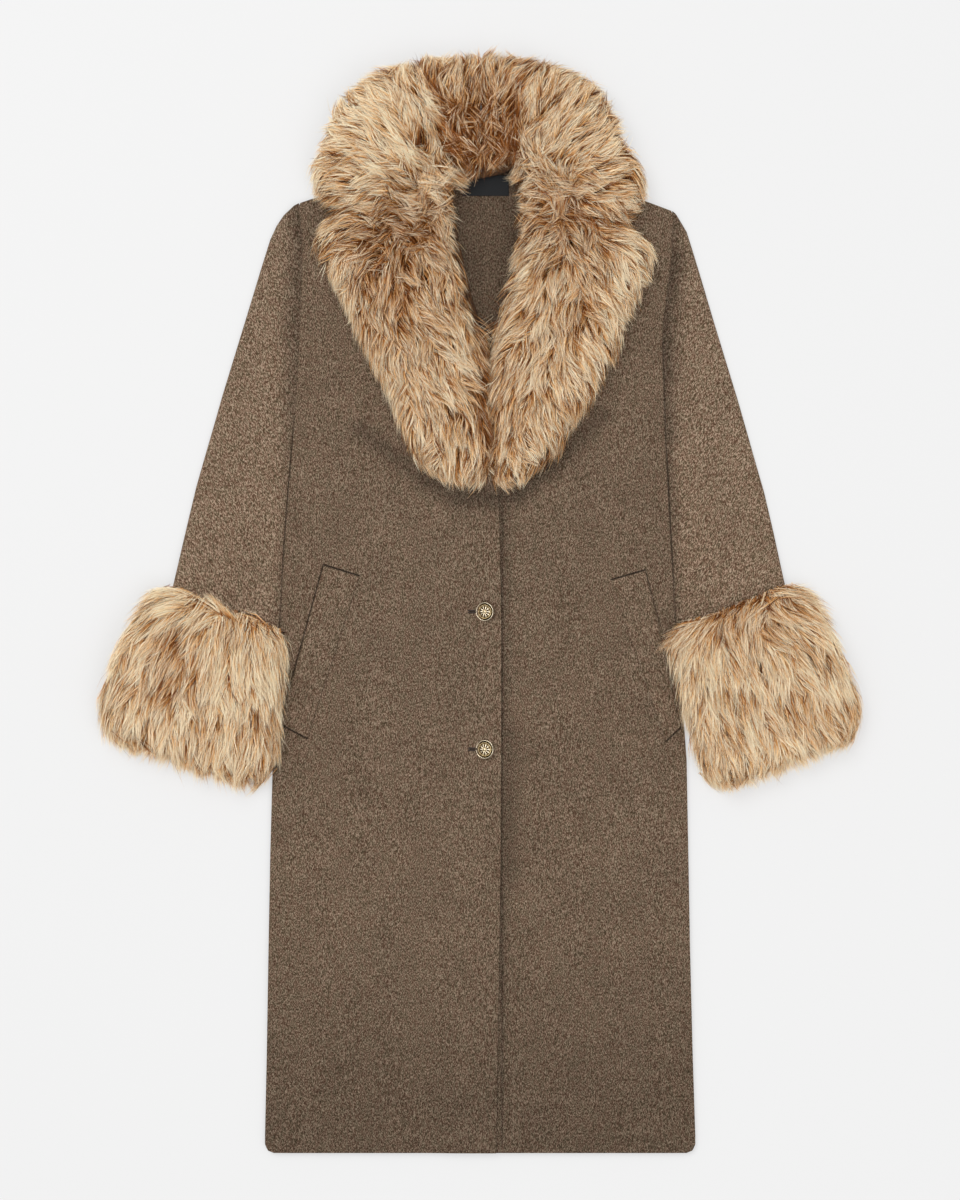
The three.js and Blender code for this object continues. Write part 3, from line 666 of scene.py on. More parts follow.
# Thread laid side by side along the visible end of each buttonhole.
def stitchButtonholes(material):
    b = buttonhole
    stitches = []
    for y in b["places"]:
        for side in (-1, 1):
            bpy.ops.mesh.primitive_cylinder_add(
                vertices=8, radius=b["stitchRadius"] * mm, depth=b["stitchLength"] * mm, rotation=(math.pi / 2, 0, 0))
            stitch = bpy.context.object
            stitch.data.transform(stitch.matrix_world)
            stitch.matrix_world.identity()
            hit = ground["tree"].ray_cast(Vector((-9 * mm, (y + 2) * mm, 0.1)), Vector((0, 0, -1)))
            for vertex in stitch.data.vertices:
                vertex.co += Vector((
                    b["stitchFrom"] * mm, (y + side * b["stitchAside"]) * mm, hit[0][2] + b["stitchRise"] * mm))
            useModifier(stitch, "ARRAY", count=b["stitches"], use_relative_offset=False,
                        use_constant_offset=True, constant_offset_displace=(b["stitchStep"] * mm, 0, 0))
            stitches.append(stitch)
    makeActive(stitches[0])
    for stitch in stitches:
        stitch.select_set(True)
    bpy.ops.object.join()
    piece = bpy.context.object
    piece.name = "buttonholeThread"
    bpy.ops.object.shade_smooth()
    settle(piece, None, material)


def dressCloth(node, settings):
    name = pieceName(node, "Cloth")
    piece = copyPanel(node, name, settings["cuts"]) if settings["cuts"] else gridPanel(node, name)
    if node == "front_left":
        cutButtonholes(piece)
    if "sleeve" in node:
        creaseSleeve(piece)
    closeSeams(piece)
    useModifier(piece, "BEVEL", width=0.7 * mm, segments=2, limit_method="ANGLE", angle_limit=math.radians(50))
    smoothByAngle(piece, 40)
    grain = wool["sleeveGrain" if "sleeve" in node else "bodyGrain"]
    look = woolMaterial(node + "Wool", settings["turn"], settings["paintedLight"], grain, settings["lines"])
    settle(piece, node, look)
    print("cloth", node, triangleCount(piece), "triangles")


# Where the pile is combed: place in millimetres, heading in degrees (0 is +X, 90 is +Y),
# lift off the surface in degrees, tone from dark to light, and how tangled it is.
leftCollarGuides = (
    (-20, 625, 95, 25, 0.10, 0.3),
    (-60, 615, 108, 22, 0.12, 0.3),
    (-100, 600, 122, 20, 0.16, 0.25),
    (-135, 575, 138, 20, 0.21, 0.25),
    (-160, 540, 158, 20, 0.18, 0.25),
    (-185, 505, 182, 20, 0.12, 0.25),
    (-188, 470, 212, 20, 0.14, 0.3),
    (-120, 540, 140, 24, 0.21, 0.25),
    (-85, 570, 122, 24, 0.12, 0.25),
    (-90, 520, 135, 26, 0.20, 0.3),
    (-60, 540, 115, 28, 0.04, 0.35),
    (-45, 500, 100, 30, 0.06, 0.4),
    (-50, 575, 112, 30, 0.06, 0.4),
    (-52, 520, 110, 30, 0.12, 0.4),
    (-24, 560, 100, 38, -0.30, 0.8),
    (-22, 520, -80, 38, -0.36, 0.9),
    (-24, 590, 100, 32, -0.12, 0.5),
    (-34, 475, -30, 30, 0.10, 0.45),
    (-22, 440, -28, 28, 0.10, 0.4),
    (-130, 480, 165, 24, 0.16, 0.35),
    (-160, 440, 190, 22, 0.14, 0.35),
    (-185, 415, 208, 20, 0.18, 0.3),
    (-70, 440, 200, 45, -0.14, 0.95),
    (-100, 428, 190, 45, -0.22, 0.95),
    (-138, 422, 205, 45, -0.20, 0.95),
    (-132, 388, 220, 45, -0.26, 0.95),
    (-158, 400, 215, 35, -0.14, 0.6),
    (-98, 385, -100, 40, -0.22, 0.7),
    (-122, 358, -100, 32, -0.14, 0.4),
    (-55, 400, -60, 35, -0.06, 0.6),
    (-165, 370, -112, 24, 0.08, 0.35),
    (-151, 326, -92, 22, 0.12, 0.3),
    (-93, 345, -88, 30, -0.16, 0.4),
    (-60, 335, -76, 26, -0.04, 0.3),
    (-25, 370, -60, 26, 0.02, 0.3),
    (-12, 303, -60, 24, 0.04, 0.25),
    (-118, 262, -84, 22, 0.10, 0.25),
    (-75, 285, -72, 26, -0.06, 0.35),
    (-70, 255, -64, 24, 0.04, 0.25),
    (-36, 268, -52, 22, 0.10, 0.25),
    (-93, 222, -84, 22, 0.06, 0.25),
    (-59, 222, -60, 24, -0.02, 0.35),
    (-24, 222, -50, 22, 0.08, 0.25),
    (-82, 188, -80, 20, 0.06, 0.3),
    (-60, 170, -112, 22, 0.02, 0.35),
    (-26, 178, -70, 22, 0.08, 0.3),
    (-2, 200, -76, 22, -0.02, 0.3),
    (-34, 146, -92, 18, 0.06, 0.3),
    (-6, 146, -86, 18, 0.04, 0.3),
    (-6, 520, -90, 35, -0.36, 0.8),
    (-8, 560, -95, 40, -0.34, 0.9),
    (-6, 592, 85, 35, -0.12, 0.5),
)
rightCollarGuides = (
    (20, 625, 85, 25, 0.10, 0.3),
    (65, 615, 68, 22, 0.10, 0.3),
    (105, 600, 55, 20, 0.12, 0.25),
    (140, 570, 38, 20, 0.12, 0.25),
    (165, 535, 20, 20, 0.10, 0.25),
    (185, 500, -8, 20, 0.10, 0.25),
    (190, 465, -35, 20, 0.12, 0.3),
    (115, 545, 35, 24, 0.12, 0.25),
    (80, 570, 52, 24, 0.08, 0.25),
    (85, 520, 30, 26, 0.08, 0.3),
    (55, 550, 62, 28, 0.00, 0.35),
    (50, 522, 125, 30, 0.10, 0.4),
    (52, 585, 68, 28, 0.08, 0.35),
    (26, 560, 80, 38, -0.30, 0.8),
    (24, 520, -95, 38, -0.36, 0.9),
    (26, 592, 75, 32, -0.12, 0.5),
    (45, 480, 200, 30, 0.04, 0.45),
    (42, 440, 205, 28, 0.06, 0.4),
    (75, 490, 120, 45, -0.05, 0.9),
    (90, 450, -20, 42, -0.18, 0.9),
    (130, 480, 5, 24, 0.06, 0.35),
    (60, 430, 215, 40, -0.14, 0.8),
    (150, 440, -25, 26, -0.04, 0.4),
    (185, 405, -22, 20, 0.14, 0.25),
    (195, 380, -52, 20, 0.16, 0.25),
    (110, 400, -70, 34, -0.12, 0.6),
    (140, 385, -62, 28, -0.06, 0.4),
    (70, 385, -120, 34, 0.00, 0.45),
    (35, 380, 212, 28, 0.06, 0.35),
    (28, 345, 220, 26, 0.06, 0.3),
    (24, 291, 228, 24, 0.06, 0.25),
    (48, 303, 240, 24, 0.06, 0.3),
    (79, 314, -105, 26, 0.04, 0.3),
    (114, 326, -85, 26, -0.04, 0.35),
    (165, 345, -74, 22, 0.12, 0.3),
    (160, 306, -62, 22, 0.12, 0.25),
    (125, 280, -62, 22, 0.04, 0.3),
    (91, 280, -84, 24, 0.00, 0.3),
    (56, 268, -105, 24, 0.04, 0.3),
    (22, 245, -124, 22, 0.00, 0.3),
    (45, 234, -102, 24, 0.02, 0.3),
    (79, 234, -72, 22, 0.02, 0.3),
    (114, 234, -54, 22, 0.08, 0.25),
    (102, 200, -52, 22, 0.08, 0.25),
    (68, 193, -60, 22, 0.04, 0.3),
    (33, 193, -92, 22, 0.00, 0.3),
    (15, 206, -105, 22, -0.06, 0.3),
    (56, 160, -64, 20, 0.06, 0.3),
    (33, 146, -85, 18, 0.06, 0.3),
    (17, 146, -95, 18, 0.02, 0.3),
    (6, 520, -90, 35, -0.36, 0.8),
    (8, 560, -85, 40, -0.34, 0.9),
    (6, 592, 95, 35, -0.12, 0.5),
)
leftCuffGuides = (
    (-365, 12, 205, 20, 0.20, 0.3),
    (-392, -5, 222, 20, 0.14, 0.3),
    (-415, -45, -122, 18, 0.16, 0.25),
    (-430, -95, -108, 16, 0.12, 0.25),
    (-428, -140, -104, 16, 0.10, 0.25),
    (-330, -5, -118, 26, 0.12, 0.3),
    (-290, -15, -104, 26, 0.08, 0.3),
    (-305, 8, 100, 18, 0.06, 0.3),
    (-280, 0, 92, 18, 0.02, 0.3),
    (-250, -35, -96, 24, 0.10, 0.25),
    (-355, -58, -118, 18, -0.14, 0.25),
    (-360, -95, -112, 18, -0.10, 0.25),
    (-392, -75, -118, 18, 0.06, 0.25),
    (-320, -60, -106, 18, 0.06, 0.25),
    (-280, -80, -96, 18, 0.14, 0.25),
    (-245, -90, -92, 18, 0.16, 0.25),
    (-400, -120, -112, 16, 0.04, 0.25),
    (-350, -140, -104, 16, 0.08, 0.25),
    (-300, -150, -98, 16, 0.12, 0.25),
    (-255, -160, -93, 16, 0.06, 0.25),
    (-280, -190, -95, 14, 0.08, 0.25),
)
rightCuffGuides = (
    (365, 12, -28, 20, 0.12, 0.3),
    (392, -5, -42, 20, 0.14, 0.3),
    (415, -45, -60, 18, 0.14, 0.25),
    (428, -95, -72, 16, 0.12, 0.25),
    (428, -140, -76, 16, 0.08, 0.25),
    (345, -5, -70, 28, -0.10, 0.35),
    (300, -15, -100, 28, -0.10, 0.4),
    (250, -35, -110, 26, -0.04, 0.35),
    (219, -40, 200, 24, -0.06, 0.4),
    (228, -66, -86, 20, 0.04, 0.3),
    (380, -60, -62, 18, 0.04, 0.25),
    (340, -70, -68, 18, 0.08, 0.25),
    (300, -70, -78, 18, 0.06, 0.25),
    (260, -90, -84, 18, 0.16, 0.25),
    (235, -90, -90, 18, 0.16, 0.25),
    (390, -120, -68, 16, 0.04, 0.25),
    (340, -130, -66, 16, 0.00, 0.25),
    (300, -140, -70, 16, 0.10, 0.25),
    (255, -150, -80, 16, 0.04, 0.25),
    (290, -190, -78, 14, 0.08, 0.25),
)


# Where the body of each pile ends, in millimetres. Single hairs reach a little past it.
collarBorder = (
    (0, 628), (-60, 625), (-98, 610), (-140, 596), (-160, 573), (-172, 543), (-183, 510), (-196, 476), (-190, 448),
    (-195, 412), (-185, 376), (-163, 338), (-147, 310), (-121, 255), (-101, 214), (-89, 180), (-70, 156), (-46, 140),
    (-22, 126), (-4, 132), (8, 140), (22, 131), (46, 136), (69, 150), (86, 175), (105, 208), (124, 237), (147, 277),
    (164, 322), (183, 359), (198, 402), (184, 421), (150, 431), (172, 445), (188, 472), (172, 500), (160, 526),
    (150, 555), (136, 586), (102, 607), (60, 623),
)
neckOpening = (
    (-40, 485), (-41, 470), (-39, 440), (-43, 412), (-36, 390), (-28, 360), (-20, 322), (3, 274), (24, 314), (34, 346),
    (36, 380), (43, 402), (47, 436), (46, 470), (45, 484), (22, 484), (0, 481), (-16, 484),
)
leftCuffBorder = (
    (-372, 14), (-350, 19), (-302, 14), (-277, 3), (-255, -17), (-238, -30), (-229, -45), (-228, -60), (-231, -86),
    (-234, -143), (-240, -179), (-249, -203), (-263, -220), (-280, -226), (-317, -222), (-348, -208), (-376, -193),
    (-390, -182),
    (-419, -162), (-431, -143), (-431, -118), (-424, -84), (-411, -52), (-393, -14),
)
rightCuffBorder = (
    (211, -47), (247, -25), (291, -4), (332, 14), (350, 18), (360, 23), (372, 13), (388, -6), (397, -32), (403, -60),
    (415, -92), (425, -123), (426, -141), (417, -159), (392, -179), (358, -197), (334, -210), (305, -217), (275, -219),
    (263, -188), (249, -168), (238, -141), (231, -108), (226, -78), (223, -60), (213, -54),
)
# Painted shade in the gaps between locks: from x, y to x, y, width in millimetres and how much it takes from the tone.
collarCleftShade = (
    (-72, 626, -52, 582, 5, -0.38),
    (-52, 582, -38, 560, 7, -0.42),
    (-38, 560, -31, 506, 7, -0.40),
    (68, 628, 43, 592, 4, -0.42),
    (43, 592, 40, 562, 6, -0.50),
    (40, 562, 38, 506, 7, -0.38),
    (96, 446, 128, 432, 8, -0.24),
    (128, 432, 164, 424, 6, -0.30),
    (-188, 446, -150, 432, 6, -0.24),
    (-96, 408, -60, 420, 9, -0.20),
    (2, 290, 6, 140, 5, -0.34),
)


def insideOf(border, x, y):
    inside = np.zeros(x.shape, bool)
    for (x0, y0), (x1, y1) in zip(border, border[1:] + border[:1]):
        if y0 != y1:
            inside ^= ((y0 > y) != (y1 > y)) & (x < x0 + (y - y0) / (y1 - y0) * (x1 - x0))
    return inside


# Cells inside a border by more than the usual reach of a tip, to tell how far each tip goes past them.
def pileShadow(border, opening, rounds):
    step = 3
    corners = np.array(border)
    low, high = corners.min(0) - step, corners.max(0) + step
    x, y = np.meshgrid(np.arange(low[0], high[0], step), np.arange(low[1], high[1], step), indexing="ij")
    cells = insideOf(border, x, y)
    if opening:
        cells &= ~insideOf(opening, x, y)
    for _ in range(rounds):
        wide = np.pad(cells, 1)
        cells = cells & wide[:-2, 1:-1] & wide[2:, 1:-1] & wide[1:-1, :-2] & wide[1:-1, 2:]
    places = np.stack([x[cells], y[cells]], 1) * mm
    shadow = KDTree(len(places))
    for index, place in enumerate(places):
        shadow.insert((place[0], place[1], 0), index)
    shadow.balance()
    return shadow


def nodeArrays(node):
    source = bpy.data.objects[node]
    source.data.calc_loop_triangles()
    corners = np.empty(len(source.data.loop_triangles) * 3, int)
    source.data.loop_triangles.foreach_get("vertices", corners)
    return vertexArray(source), corners.reshape(-1, 3)


def smoothNormals(points, corners):
    keys = np.round(points * 1e5).astype(np.int64)
    _, where = np.unique(keys, axis=0, return_inverse=True)
    where = where.reshape(-1)
    first = points[corners[:, 0]]
    faceNormals = np.cross(points[corners[:, 1]] - first, points[corners[:, 2]] - first)
    total = np.zeros((where.max() + 1, 3))
    for column in range(3):
        np.add.at(total, where[corners[:, column]], faceNormals)
    total /= np.linalg.norm(total, axis=1, keepdims=True) + 1e-12
    return total[where], faceNormals


def treeOf(nodes):
    allPoints, allCorners = [], []
    for node in nodes:
        points, corners = nodeArrays(node)
        allCorners.extend(map(tuple, (corners + len(allPoints)).tolist()))
        allPoints.extend(map(tuple, points))
    return BVHTree.FromPolygons(allPoints, allCorners)


# How high the laid cloth is on a grid, to keep the hairs over it.
groundGrid = {"step": 0.004, "margin": 0.04, "lowest": -0.30}


def groundMap():
    step, margin = groundGrid["step"], groundGrid["margin"]
    tree = treeOf(list(clothPieces) + ["neck_label"])
    xs = np.arange(cadLow[0] - margin, cadHigh[0] + margin, step)
    ys = np.arange(cadLow[1] - margin, cadHigh[1] + margin, step)
    heights = np.zeros((len(xs), len(ys)))
    for i, x in enumerate(xs):
        for j, y in enumerate(ys):
            hit = tree.ray_cast(Vector((x, y, 0.2)), Vector((0, 0, -1)))[0] if y >= groundGrid["lowest"] else None
            if hit is not None:
                heights[i, j] = hit[2]
    for _ in range(2):
        padded = np.pad(heights, 1, mode="edge")
        heights = np.max([padded[a:a + len(xs), b:b + len(ys)] for a in range(3) for b in range(3)], axis=0)
    return {"x": xs[0], "y": ys[0], "heights": heights, "tree": tree}


def groundAt(ground, x, y):
    heights = ground["heights"]
    i = np.clip(((x - ground["x"]) / groundGrid["step"]).astype(int), 0, heights.shape[0] - 1)
    j = np.clip(((y - ground["y"]) / groundGrid["step"]).astype(int), 0, heights.shape[1] - 1)
    return heights[i, j]


def unit(vectors):
    return vectors / (np.linalg.norm(vectors, axis=-1, keepdims=True) + 1e-12)


def combed(guides, points):
    guides = np.array(guides, float)
    flat = points[:, :2] / mm
    near = flat[:, None, :] - guides[None, :, :2]
    weight = 1 / ((near ** 2).sum(-1) + 60) ** 1.6
    weight /= weight.sum(1, keepdims=True)
    heading = np.radians(guides[:, 2])
    way = weight @ np.stack([np.cos(heading), np.sin(heading)], 1)
    angle = np.arctan2(way[:, 1], way[:, 0])
    return angle, np.radians(weight @ guides[:, 3]), weight @ guides[:, 4], weight @ guides[:, 5]


def waves(points, size, seed):
    rng = np.random.default_rng(seed)
    total = np.zeros(len(points))
    for _ in range(7):
        direction = rng.normal(size=3)
        direction /= np.linalg.norm(direction)
        total += np.sin(points @ direction * (2 * math.pi / size) * rng.uniform(0.6, 1.7) + rng.uniform(0, 6.28))
    return total / 2.6


def tuftRoots(node, spacing, rng):
    points, corners = nodeArrays(node)
    normals, faceNormals = smoothNormals(points, corners)
    area = np.linalg.norm(faceNormals, axis=1) / 2
    facing = unit(faceNormals)
    keep = facing[:, 2] > -0.55
    keep &= ~((np.abs(facing[:, 0]) > 0.97) & (np.abs(points[corners].mean(1)[:, 0]) < 0.001))
    chance = area * keep
    count = int(chance.sum() / spacing ** 2 * 4)
    chosen = rng.choice(len(corners), size=count, p=chance / chance.sum())
    a, b = rng.random((2, count))
    fold = a + b > 1
    a[fold], b[fold] = 1 - a[fold], 1 - b[fold]
    mixing = np.stack([1 - a - b, a, b], 1)[:, :, None]
    spots = (points[corners[chosen]] * mixing).sum(1)
    normal = unit((normals[corners[chosen]] * mixing).sum(1))
    kept = scattered(spots, spacing)
    spots, normal = spots[kept], normal[kept]
    tree = treeOf([node])
    up = Vector((0, 0, 1))
    free = [tree.ray_cast(Vector(spot + n * 0.001) + up * 0.0015, up)[0] is None for spot, n in zip(spots, normal)]
    return spots[free], normal[free], tree


pile = {
    "collar": {"spacing": 0.0046, "lock": 0.016, "wisps": 8, "perWisp": 4, "length": 0.037, "depth": 0.011,
               "width": 0.00056, "tangle": 0.8, "tone": 0.03, "clefts": collarCleftShade},
    "cuff": {"spacing": 0.0046, "lock": 0.014, "wisps": 8, "perWisp": 4, "length": 0.044, "depth": 0.010,
             "width": 0.00054, "tangle": 0.35, "tone": 0.14, "clefts": ()},
}


def scattered(spots, spacing):
    taken = {}
    kept = []
    for index, spot in enumerate(spots):
        cell = tuple((spot // spacing).astype(int))
        near = [
            other
            for dx in (-1, 0, 1) for dy in (-1, 0, 1) for dz in (-1, 0, 1)
            for other in taken.get((cell[0] + dx, cell[1] + dy, cell[2] + dz), ())
        ]
        if all(((spots[other] - spot) ** 2).sum() > spacing ** 2 for other in near):
            taken.setdefault(cell, []).append(index)
            kept.append(index)
    return kept


# What all hairs share, in metres, radians and shares of a hair's length. A pair is from and to, or for a wisp
# and for one hair. Curls, sway and wave give the size of their waves first, and lockTurn grows with the tangle.
hair = {
    "curls": ((0.045, 0.9), (0.018, 0.5)),
    "sway": (0.07, 0.10),
    "lockTurn": (0.13, 0.25),
    "tuftTurn": 0.09,
    "lockLift": 0.10,
    "lockReach": (-0.003, 0.006),
    "spring": 0.35,
    "uneven": 0.10,
    "shorter": 0.35,
    "gather": 0.60,
    "rootShares": (0.72, 0.54, 0.36, 0.18, 0.0),
    "rootLowest": 0.002,
    "spread": 0.62,
    "lengths": (0.86, 1.04),
    "lifts": (0.13, 0.05),
    "fall": 0.12,
    "fan": (0.10, 0.035),
    "halves": (0.46, 0.58),
    "closing": (0.40, 0.85),
    "strays": (0.035, 0.006),
    "margin": 0.003,
    "bends": (0.022, 0.012, 0.022),
    "wave": (0.05, 0.035),
    "clear": (0.0006, 0.004),
    "over": 0.002,
    "overSoft": 0.006,
    "roll": 0.6,
    "widths": (0.6, 1.3),
    "taper": (0.8, 1.0),
    "stations": (0, 0.55, 1.0),
}


# Tufts with their place, their comb and the lock that they lean into.
def layTufts(node, guides, s, seed, rng, side):
    h = hair
    spots, normal, tree = tuftRoots(node, s["spacing"], rng)
    angle, lift, tone, tangle = combed(guides, spots)
    tangle = tangle * s["tangle"]
    # Painted shade in the gaps between locks, taken from the tone of the tufts there.
    cleft = -creasesAt(s["clefts"], spots[:, 0], spots[:, 1]) / mm
    angle = angle + tangle * sum(waves(spots, size, seed + 1 + i) * turn for i, (size, turn) in enumerate(h["curls"]))
    angle = angle + waves(spots, h["sway"][0], seed + 3) * h["sway"][1]

    seeds = scattered(spots, s["lock"])
    finder = KDTree(len(seeds))
    for index, spot in enumerate(seeds):
        finder.insert(spots[spot], index)
    finder.balance()
    lockOf = np.array([finder.find(spot)[1] for spot in spots])
    lockSpot = spots[seeds][lockOf]
    lockTurn, lockTone, lockLift = (rng.normal(size=len(seeds))[lockOf] for _ in range(3))
    lockReach = rng.uniform(*h["lockReach"], len(seeds))[lockOf]
    angle = angle + lockTurn * (h["lockTurn"][0] + h["lockTurn"][1] * tangle)
    angle = angle + rng.normal(size=len(spots)) * h["tuftTurn"]
    flow = np.stack([np.cos(angle), np.sin(angle), np.zeros(len(angle))], 1)
    rising = (flow * normal).sum(1)
    upstream = (-rising).clip(0, 1)
    along = flow - rising[:, None] * normal
    along = unit(np.where(np.linalg.norm(along, axis=1, keepdims=True) > 0.3, along, flow))
    sideways = unit(np.cross(normal, along))
    length = s["length"] * (1 + h["uneven"] * rng.normal(size=len(spots)).clip(-2, 2))
    # Distance across from the lock's middle: towards a lock's edge the hairs get painted shade, a lower lock tone.
    offset = ((lockSpot - spots) * sideways).sum(1, keepdims=True)
    lockEdge = (np.abs(offset[:, 0]) / s["lock"] * 2.2).clip(0, 1.6)
    tuft = {
        "spot": spots,
        "normal": normal,
        "along": along,
        "sideways": sideways,
        "length": length * (1 - h["shorter"] * tangle.clip(0, 1)),
        "lift": (lift + lockLift * h["lockLift"]) * (1 - 0.85 * upstream),
        "spring": h["spring"] * (1 - upstream),
        "tone": tone - cleft,
        "tangle": tangle,
        "pull": offset * h["gather"],
        "lockTone": lockTone - lockEdge + 0.5,
        "lockEdge": lockEdge,
        "lockReach": lockReach,
        "cleft": cleft,
    }
    keep = np.ones(len(spots), bool) if side is None else side(spots)
    rim = keep & (normal[:, 2] < 0.55) & (rising > 0.35)     # the rim gets twice as many
    keep = np.concatenate([np.nonzero(keep)[0], np.nonzero(rim)[0]])
    return {key: values[keep] for key, values in tuft.items()}, tree


# Roots set back along the comb and sunk into the backing, as far as there is some under them.
def sinkRoots(tuft, tree, depth):
    roots = tuft["spot"] - tuft["normal"] * depth
    up = Vector((0, 0, 1))
    for index, base in enumerate(roots.copy()):
        for share in hair["rootShares"]:
            roots[index] = base - tuft["along"][index] * tuft["length"][index] * share
            if tree.ray_cast(Vector((roots[index][0], roots[index][1], -0.02)), up)[0] is not None:
                break
    for index, root in enumerate(roots):
        hit = tree.ray_cast(Vector((root[0], root[1], 0.2)), -up)
        top = hit[0][2] if hit[0] is not None else tuft["spot"][index][2]
        root[2] = max(hair["rootLowest"], min(root[2], top - depth * 0.7))
    return roots


# Two ways to make a value for each hair: repeated from its tuft, or drawn for its wisp.
def spreaders(s, tufts, rng):
    each = lambda values: np.repeat(values, s["wisps"] * s["perWisp"], axis=0)
    wisp = lambda size: np.repeat(
        rng.normal(size=(tufts * s["wisps"], size)).clip(-1.8, 1.8), s["perWisp"], axis=0)
    return each, wisp


def curveHairs(tuft, roots, s, shadow, ground, seed, rng):
    h = hair
    each, wisp = spreaders(s, len(roots), rng)
    wispCount = len(roots) * s["wisps"]
    count = wispCount * s["perWisp"]
    normal, along, sideways = each(tuft["normal"]), each(tuft["along"]), each(tuft["sideways"])
    centre = wisp(2)
    jitter = rng.normal(size=(count, 2)).clip(-1.8, 1.8) * 0.3
    across = centre + jitter
    spread = s["spacing"] * h["spread"]
    root = each(roots) + (sideways * across[:, :1] + along * across[:, 1:]) * spread
    length = (each(tuft["length"]) * rng.uniform(*h["lengths"], count))[:, None] * (0.94 + 0.11 * wisp(1))
    lift = each(tuft["lift"])[:, None] + wisp(1) * h["lifts"][0] + rng.normal(size=(count, 1)) * h["lifts"][1]
    steep = lift + each(tuft["spring"])[:, None]
    first = unit(normal * np.sin(steep) + along * np.cos(steep))
    last = unit(along * np.cos(lift * 0.5) + normal * np.sin(lift * 0.5) + np.array([0, 0, -h["fall"]])
                + sideways * (wisp(1) * h["fan"][0] + rng.normal(size=(count, 1)) * h["fan"][1]))
    middle = root + first * length * h["halves"][0]
    tip = middle + last * length * h["halves"][1]
    close = centre[:, :1] * h["closing"][0] + jitter[:, :1] * h["closing"][1]
    tip = tip - sideways * close * spread + sideways * each(tuft["pull"])
    stray = rng.random(count) < h["strays"][0]
    tip[stray] += rng.normal(size=(stray.sum(), 3)) * h["strays"][1]

    # Tips past the border are drawn back to what is allowed there, with their whole hair.
    reach = rng.uniform(0.0, 0.002, wispCount)
    reach = reach + (rng.random(wispCount) < 0.22) * rng.uniform(0.003, 0.013, wispCount)
    allowed = np.repeat(reach, s["perWisp"]) + each(tuft["lockReach"]) + rng.exponential(0.003, count).clip(0, 0.018)
    for index, spot in enumerate(tip):
        nearest, _, apart = shadow.find((spot[0], spot[1], 0))
        if apart > h["margin"] + allowed[index]:
            share = (apart - h["margin"] - allowed[index]) / apart
            back = (spot - np.array(nearest)) * np.array([1, 1, 0]) * share
            for part in (root, middle, tip):
                part[index] -= back

    bend = wisp(1) * h["bends"][0] + rng.normal(size=(count, 1)) * h["bends"][1]
    bend = (bend + each(rng.normal(size=(len(roots), 1))) * h["bends"][2]) * length
    wave = each(waves(tuft["spot"], h["wave"][0], seed + 7)[:, None]) * length * h["wave"][1]
    bend = bend + wave * (1 + 3 * each(tuft["tangle"])[:, None])
    line = np.stack([
        root * (1 - t) ** 2 + middle * 2 * t * (1 - t) + tip * t ** 2 + sideways * bend * math.sin(math.pi * t * 1.15)
        for t in h["stations"]], 1)
    lowest = groundAt(ground, line[:, :, 0], line[:, :, 1]) + rng.uniform(*h["clear"], (count, 1))
    line[:, :, 2] = np.maximum(line[:, :, 2], lowest)
    over = (line[:, :, 2] - cadHigh[2] - h["over"]).clip(0)
    line[:, :, 2] += h["overSoft"] * (1 - np.exp(-over / h["overSoft"])) - over
    return line, normal


# Each hair is a flat ribbon of one quad that ends in a triangle.
def ribbonMesh(name, line, normal, width, rng):
    h, count = hair, len(line)
    tangent = unit(line[:, 1:] - line[:, :-1])
    flat = unit(np.cross(tangent, normal[:, None, :]))
    roll = rng.normal(size=(count, 1, 1)) * h["roll"]
    flat = flat * np.cos(roll) + unit(np.cross(flat, tangent)) * np.sin(roll)
    wide = width * rng.uniform(*h["widths"], (count, 1))
    half = flat * (wide[:, :, None] * np.array(h["taper"])[None, :, None] / 2)
    sides = np.stack([line[:, :2] - half, line[:, :2] + half], 2).reshape(count, 4, 3)
    vertices = np.concatenate([sides, line[:, 2:]], 1).reshape(-1)
    start = np.arange(count)[:, None] * 5
    corners = np.concatenate([(start + np.array(corner)).reshape(-1) for corner in ((0, 1, 3, 2), (2, 3, 4))])
    starts = np.concatenate([np.arange(count) * 4, count * 4 + np.arange(count) * 3])
    mesh = bpy.data.meshes.new(name)
    mesh.vertices.add(count * 5)
    mesh.vertices.foreach_set("co", vertices.astype(np.float32))
    mesh.loops.add(len(corners))
    mesh.loops.foreach_set("vertex_index", corners.astype(np.int32))
    mesh.polygons.add(count * 2)
    mesh.polygons.foreach_set("loop_start", starts.astype(np.int32))
    mesh.polygons.foreach_set("use_smooth", np.ones(count * 2, bool))
    mesh.update(calc_edges=True)
    return mesh


# How the tone differs over a pile, on the scale from root (0) to tip (1); lock edges get painted shade.
shading = {
    "base": 0.34,
    "combed": 1.3,
    "patches": ((5, 0.06, 0.07), (6, 0.024, 0.07)),
    "lock": 0.10,
    "tuft": 0.09,
    "wisp": 0.22,
    "hair": 0.22,
    "dashShare": 0.08,
    "dashes": (0.25, 0.5),
    "darkShares": (0.06, 0.07, 0.8),
    "darks": (0.45, 0.95),
    "darkDrop": 0.4,
    "warm": 0.14,
    "warmDark": 0.5,
    "warmTuft": 0.035,
    "warmWisp": 0.03,
    "warmMost": 0.8,
}


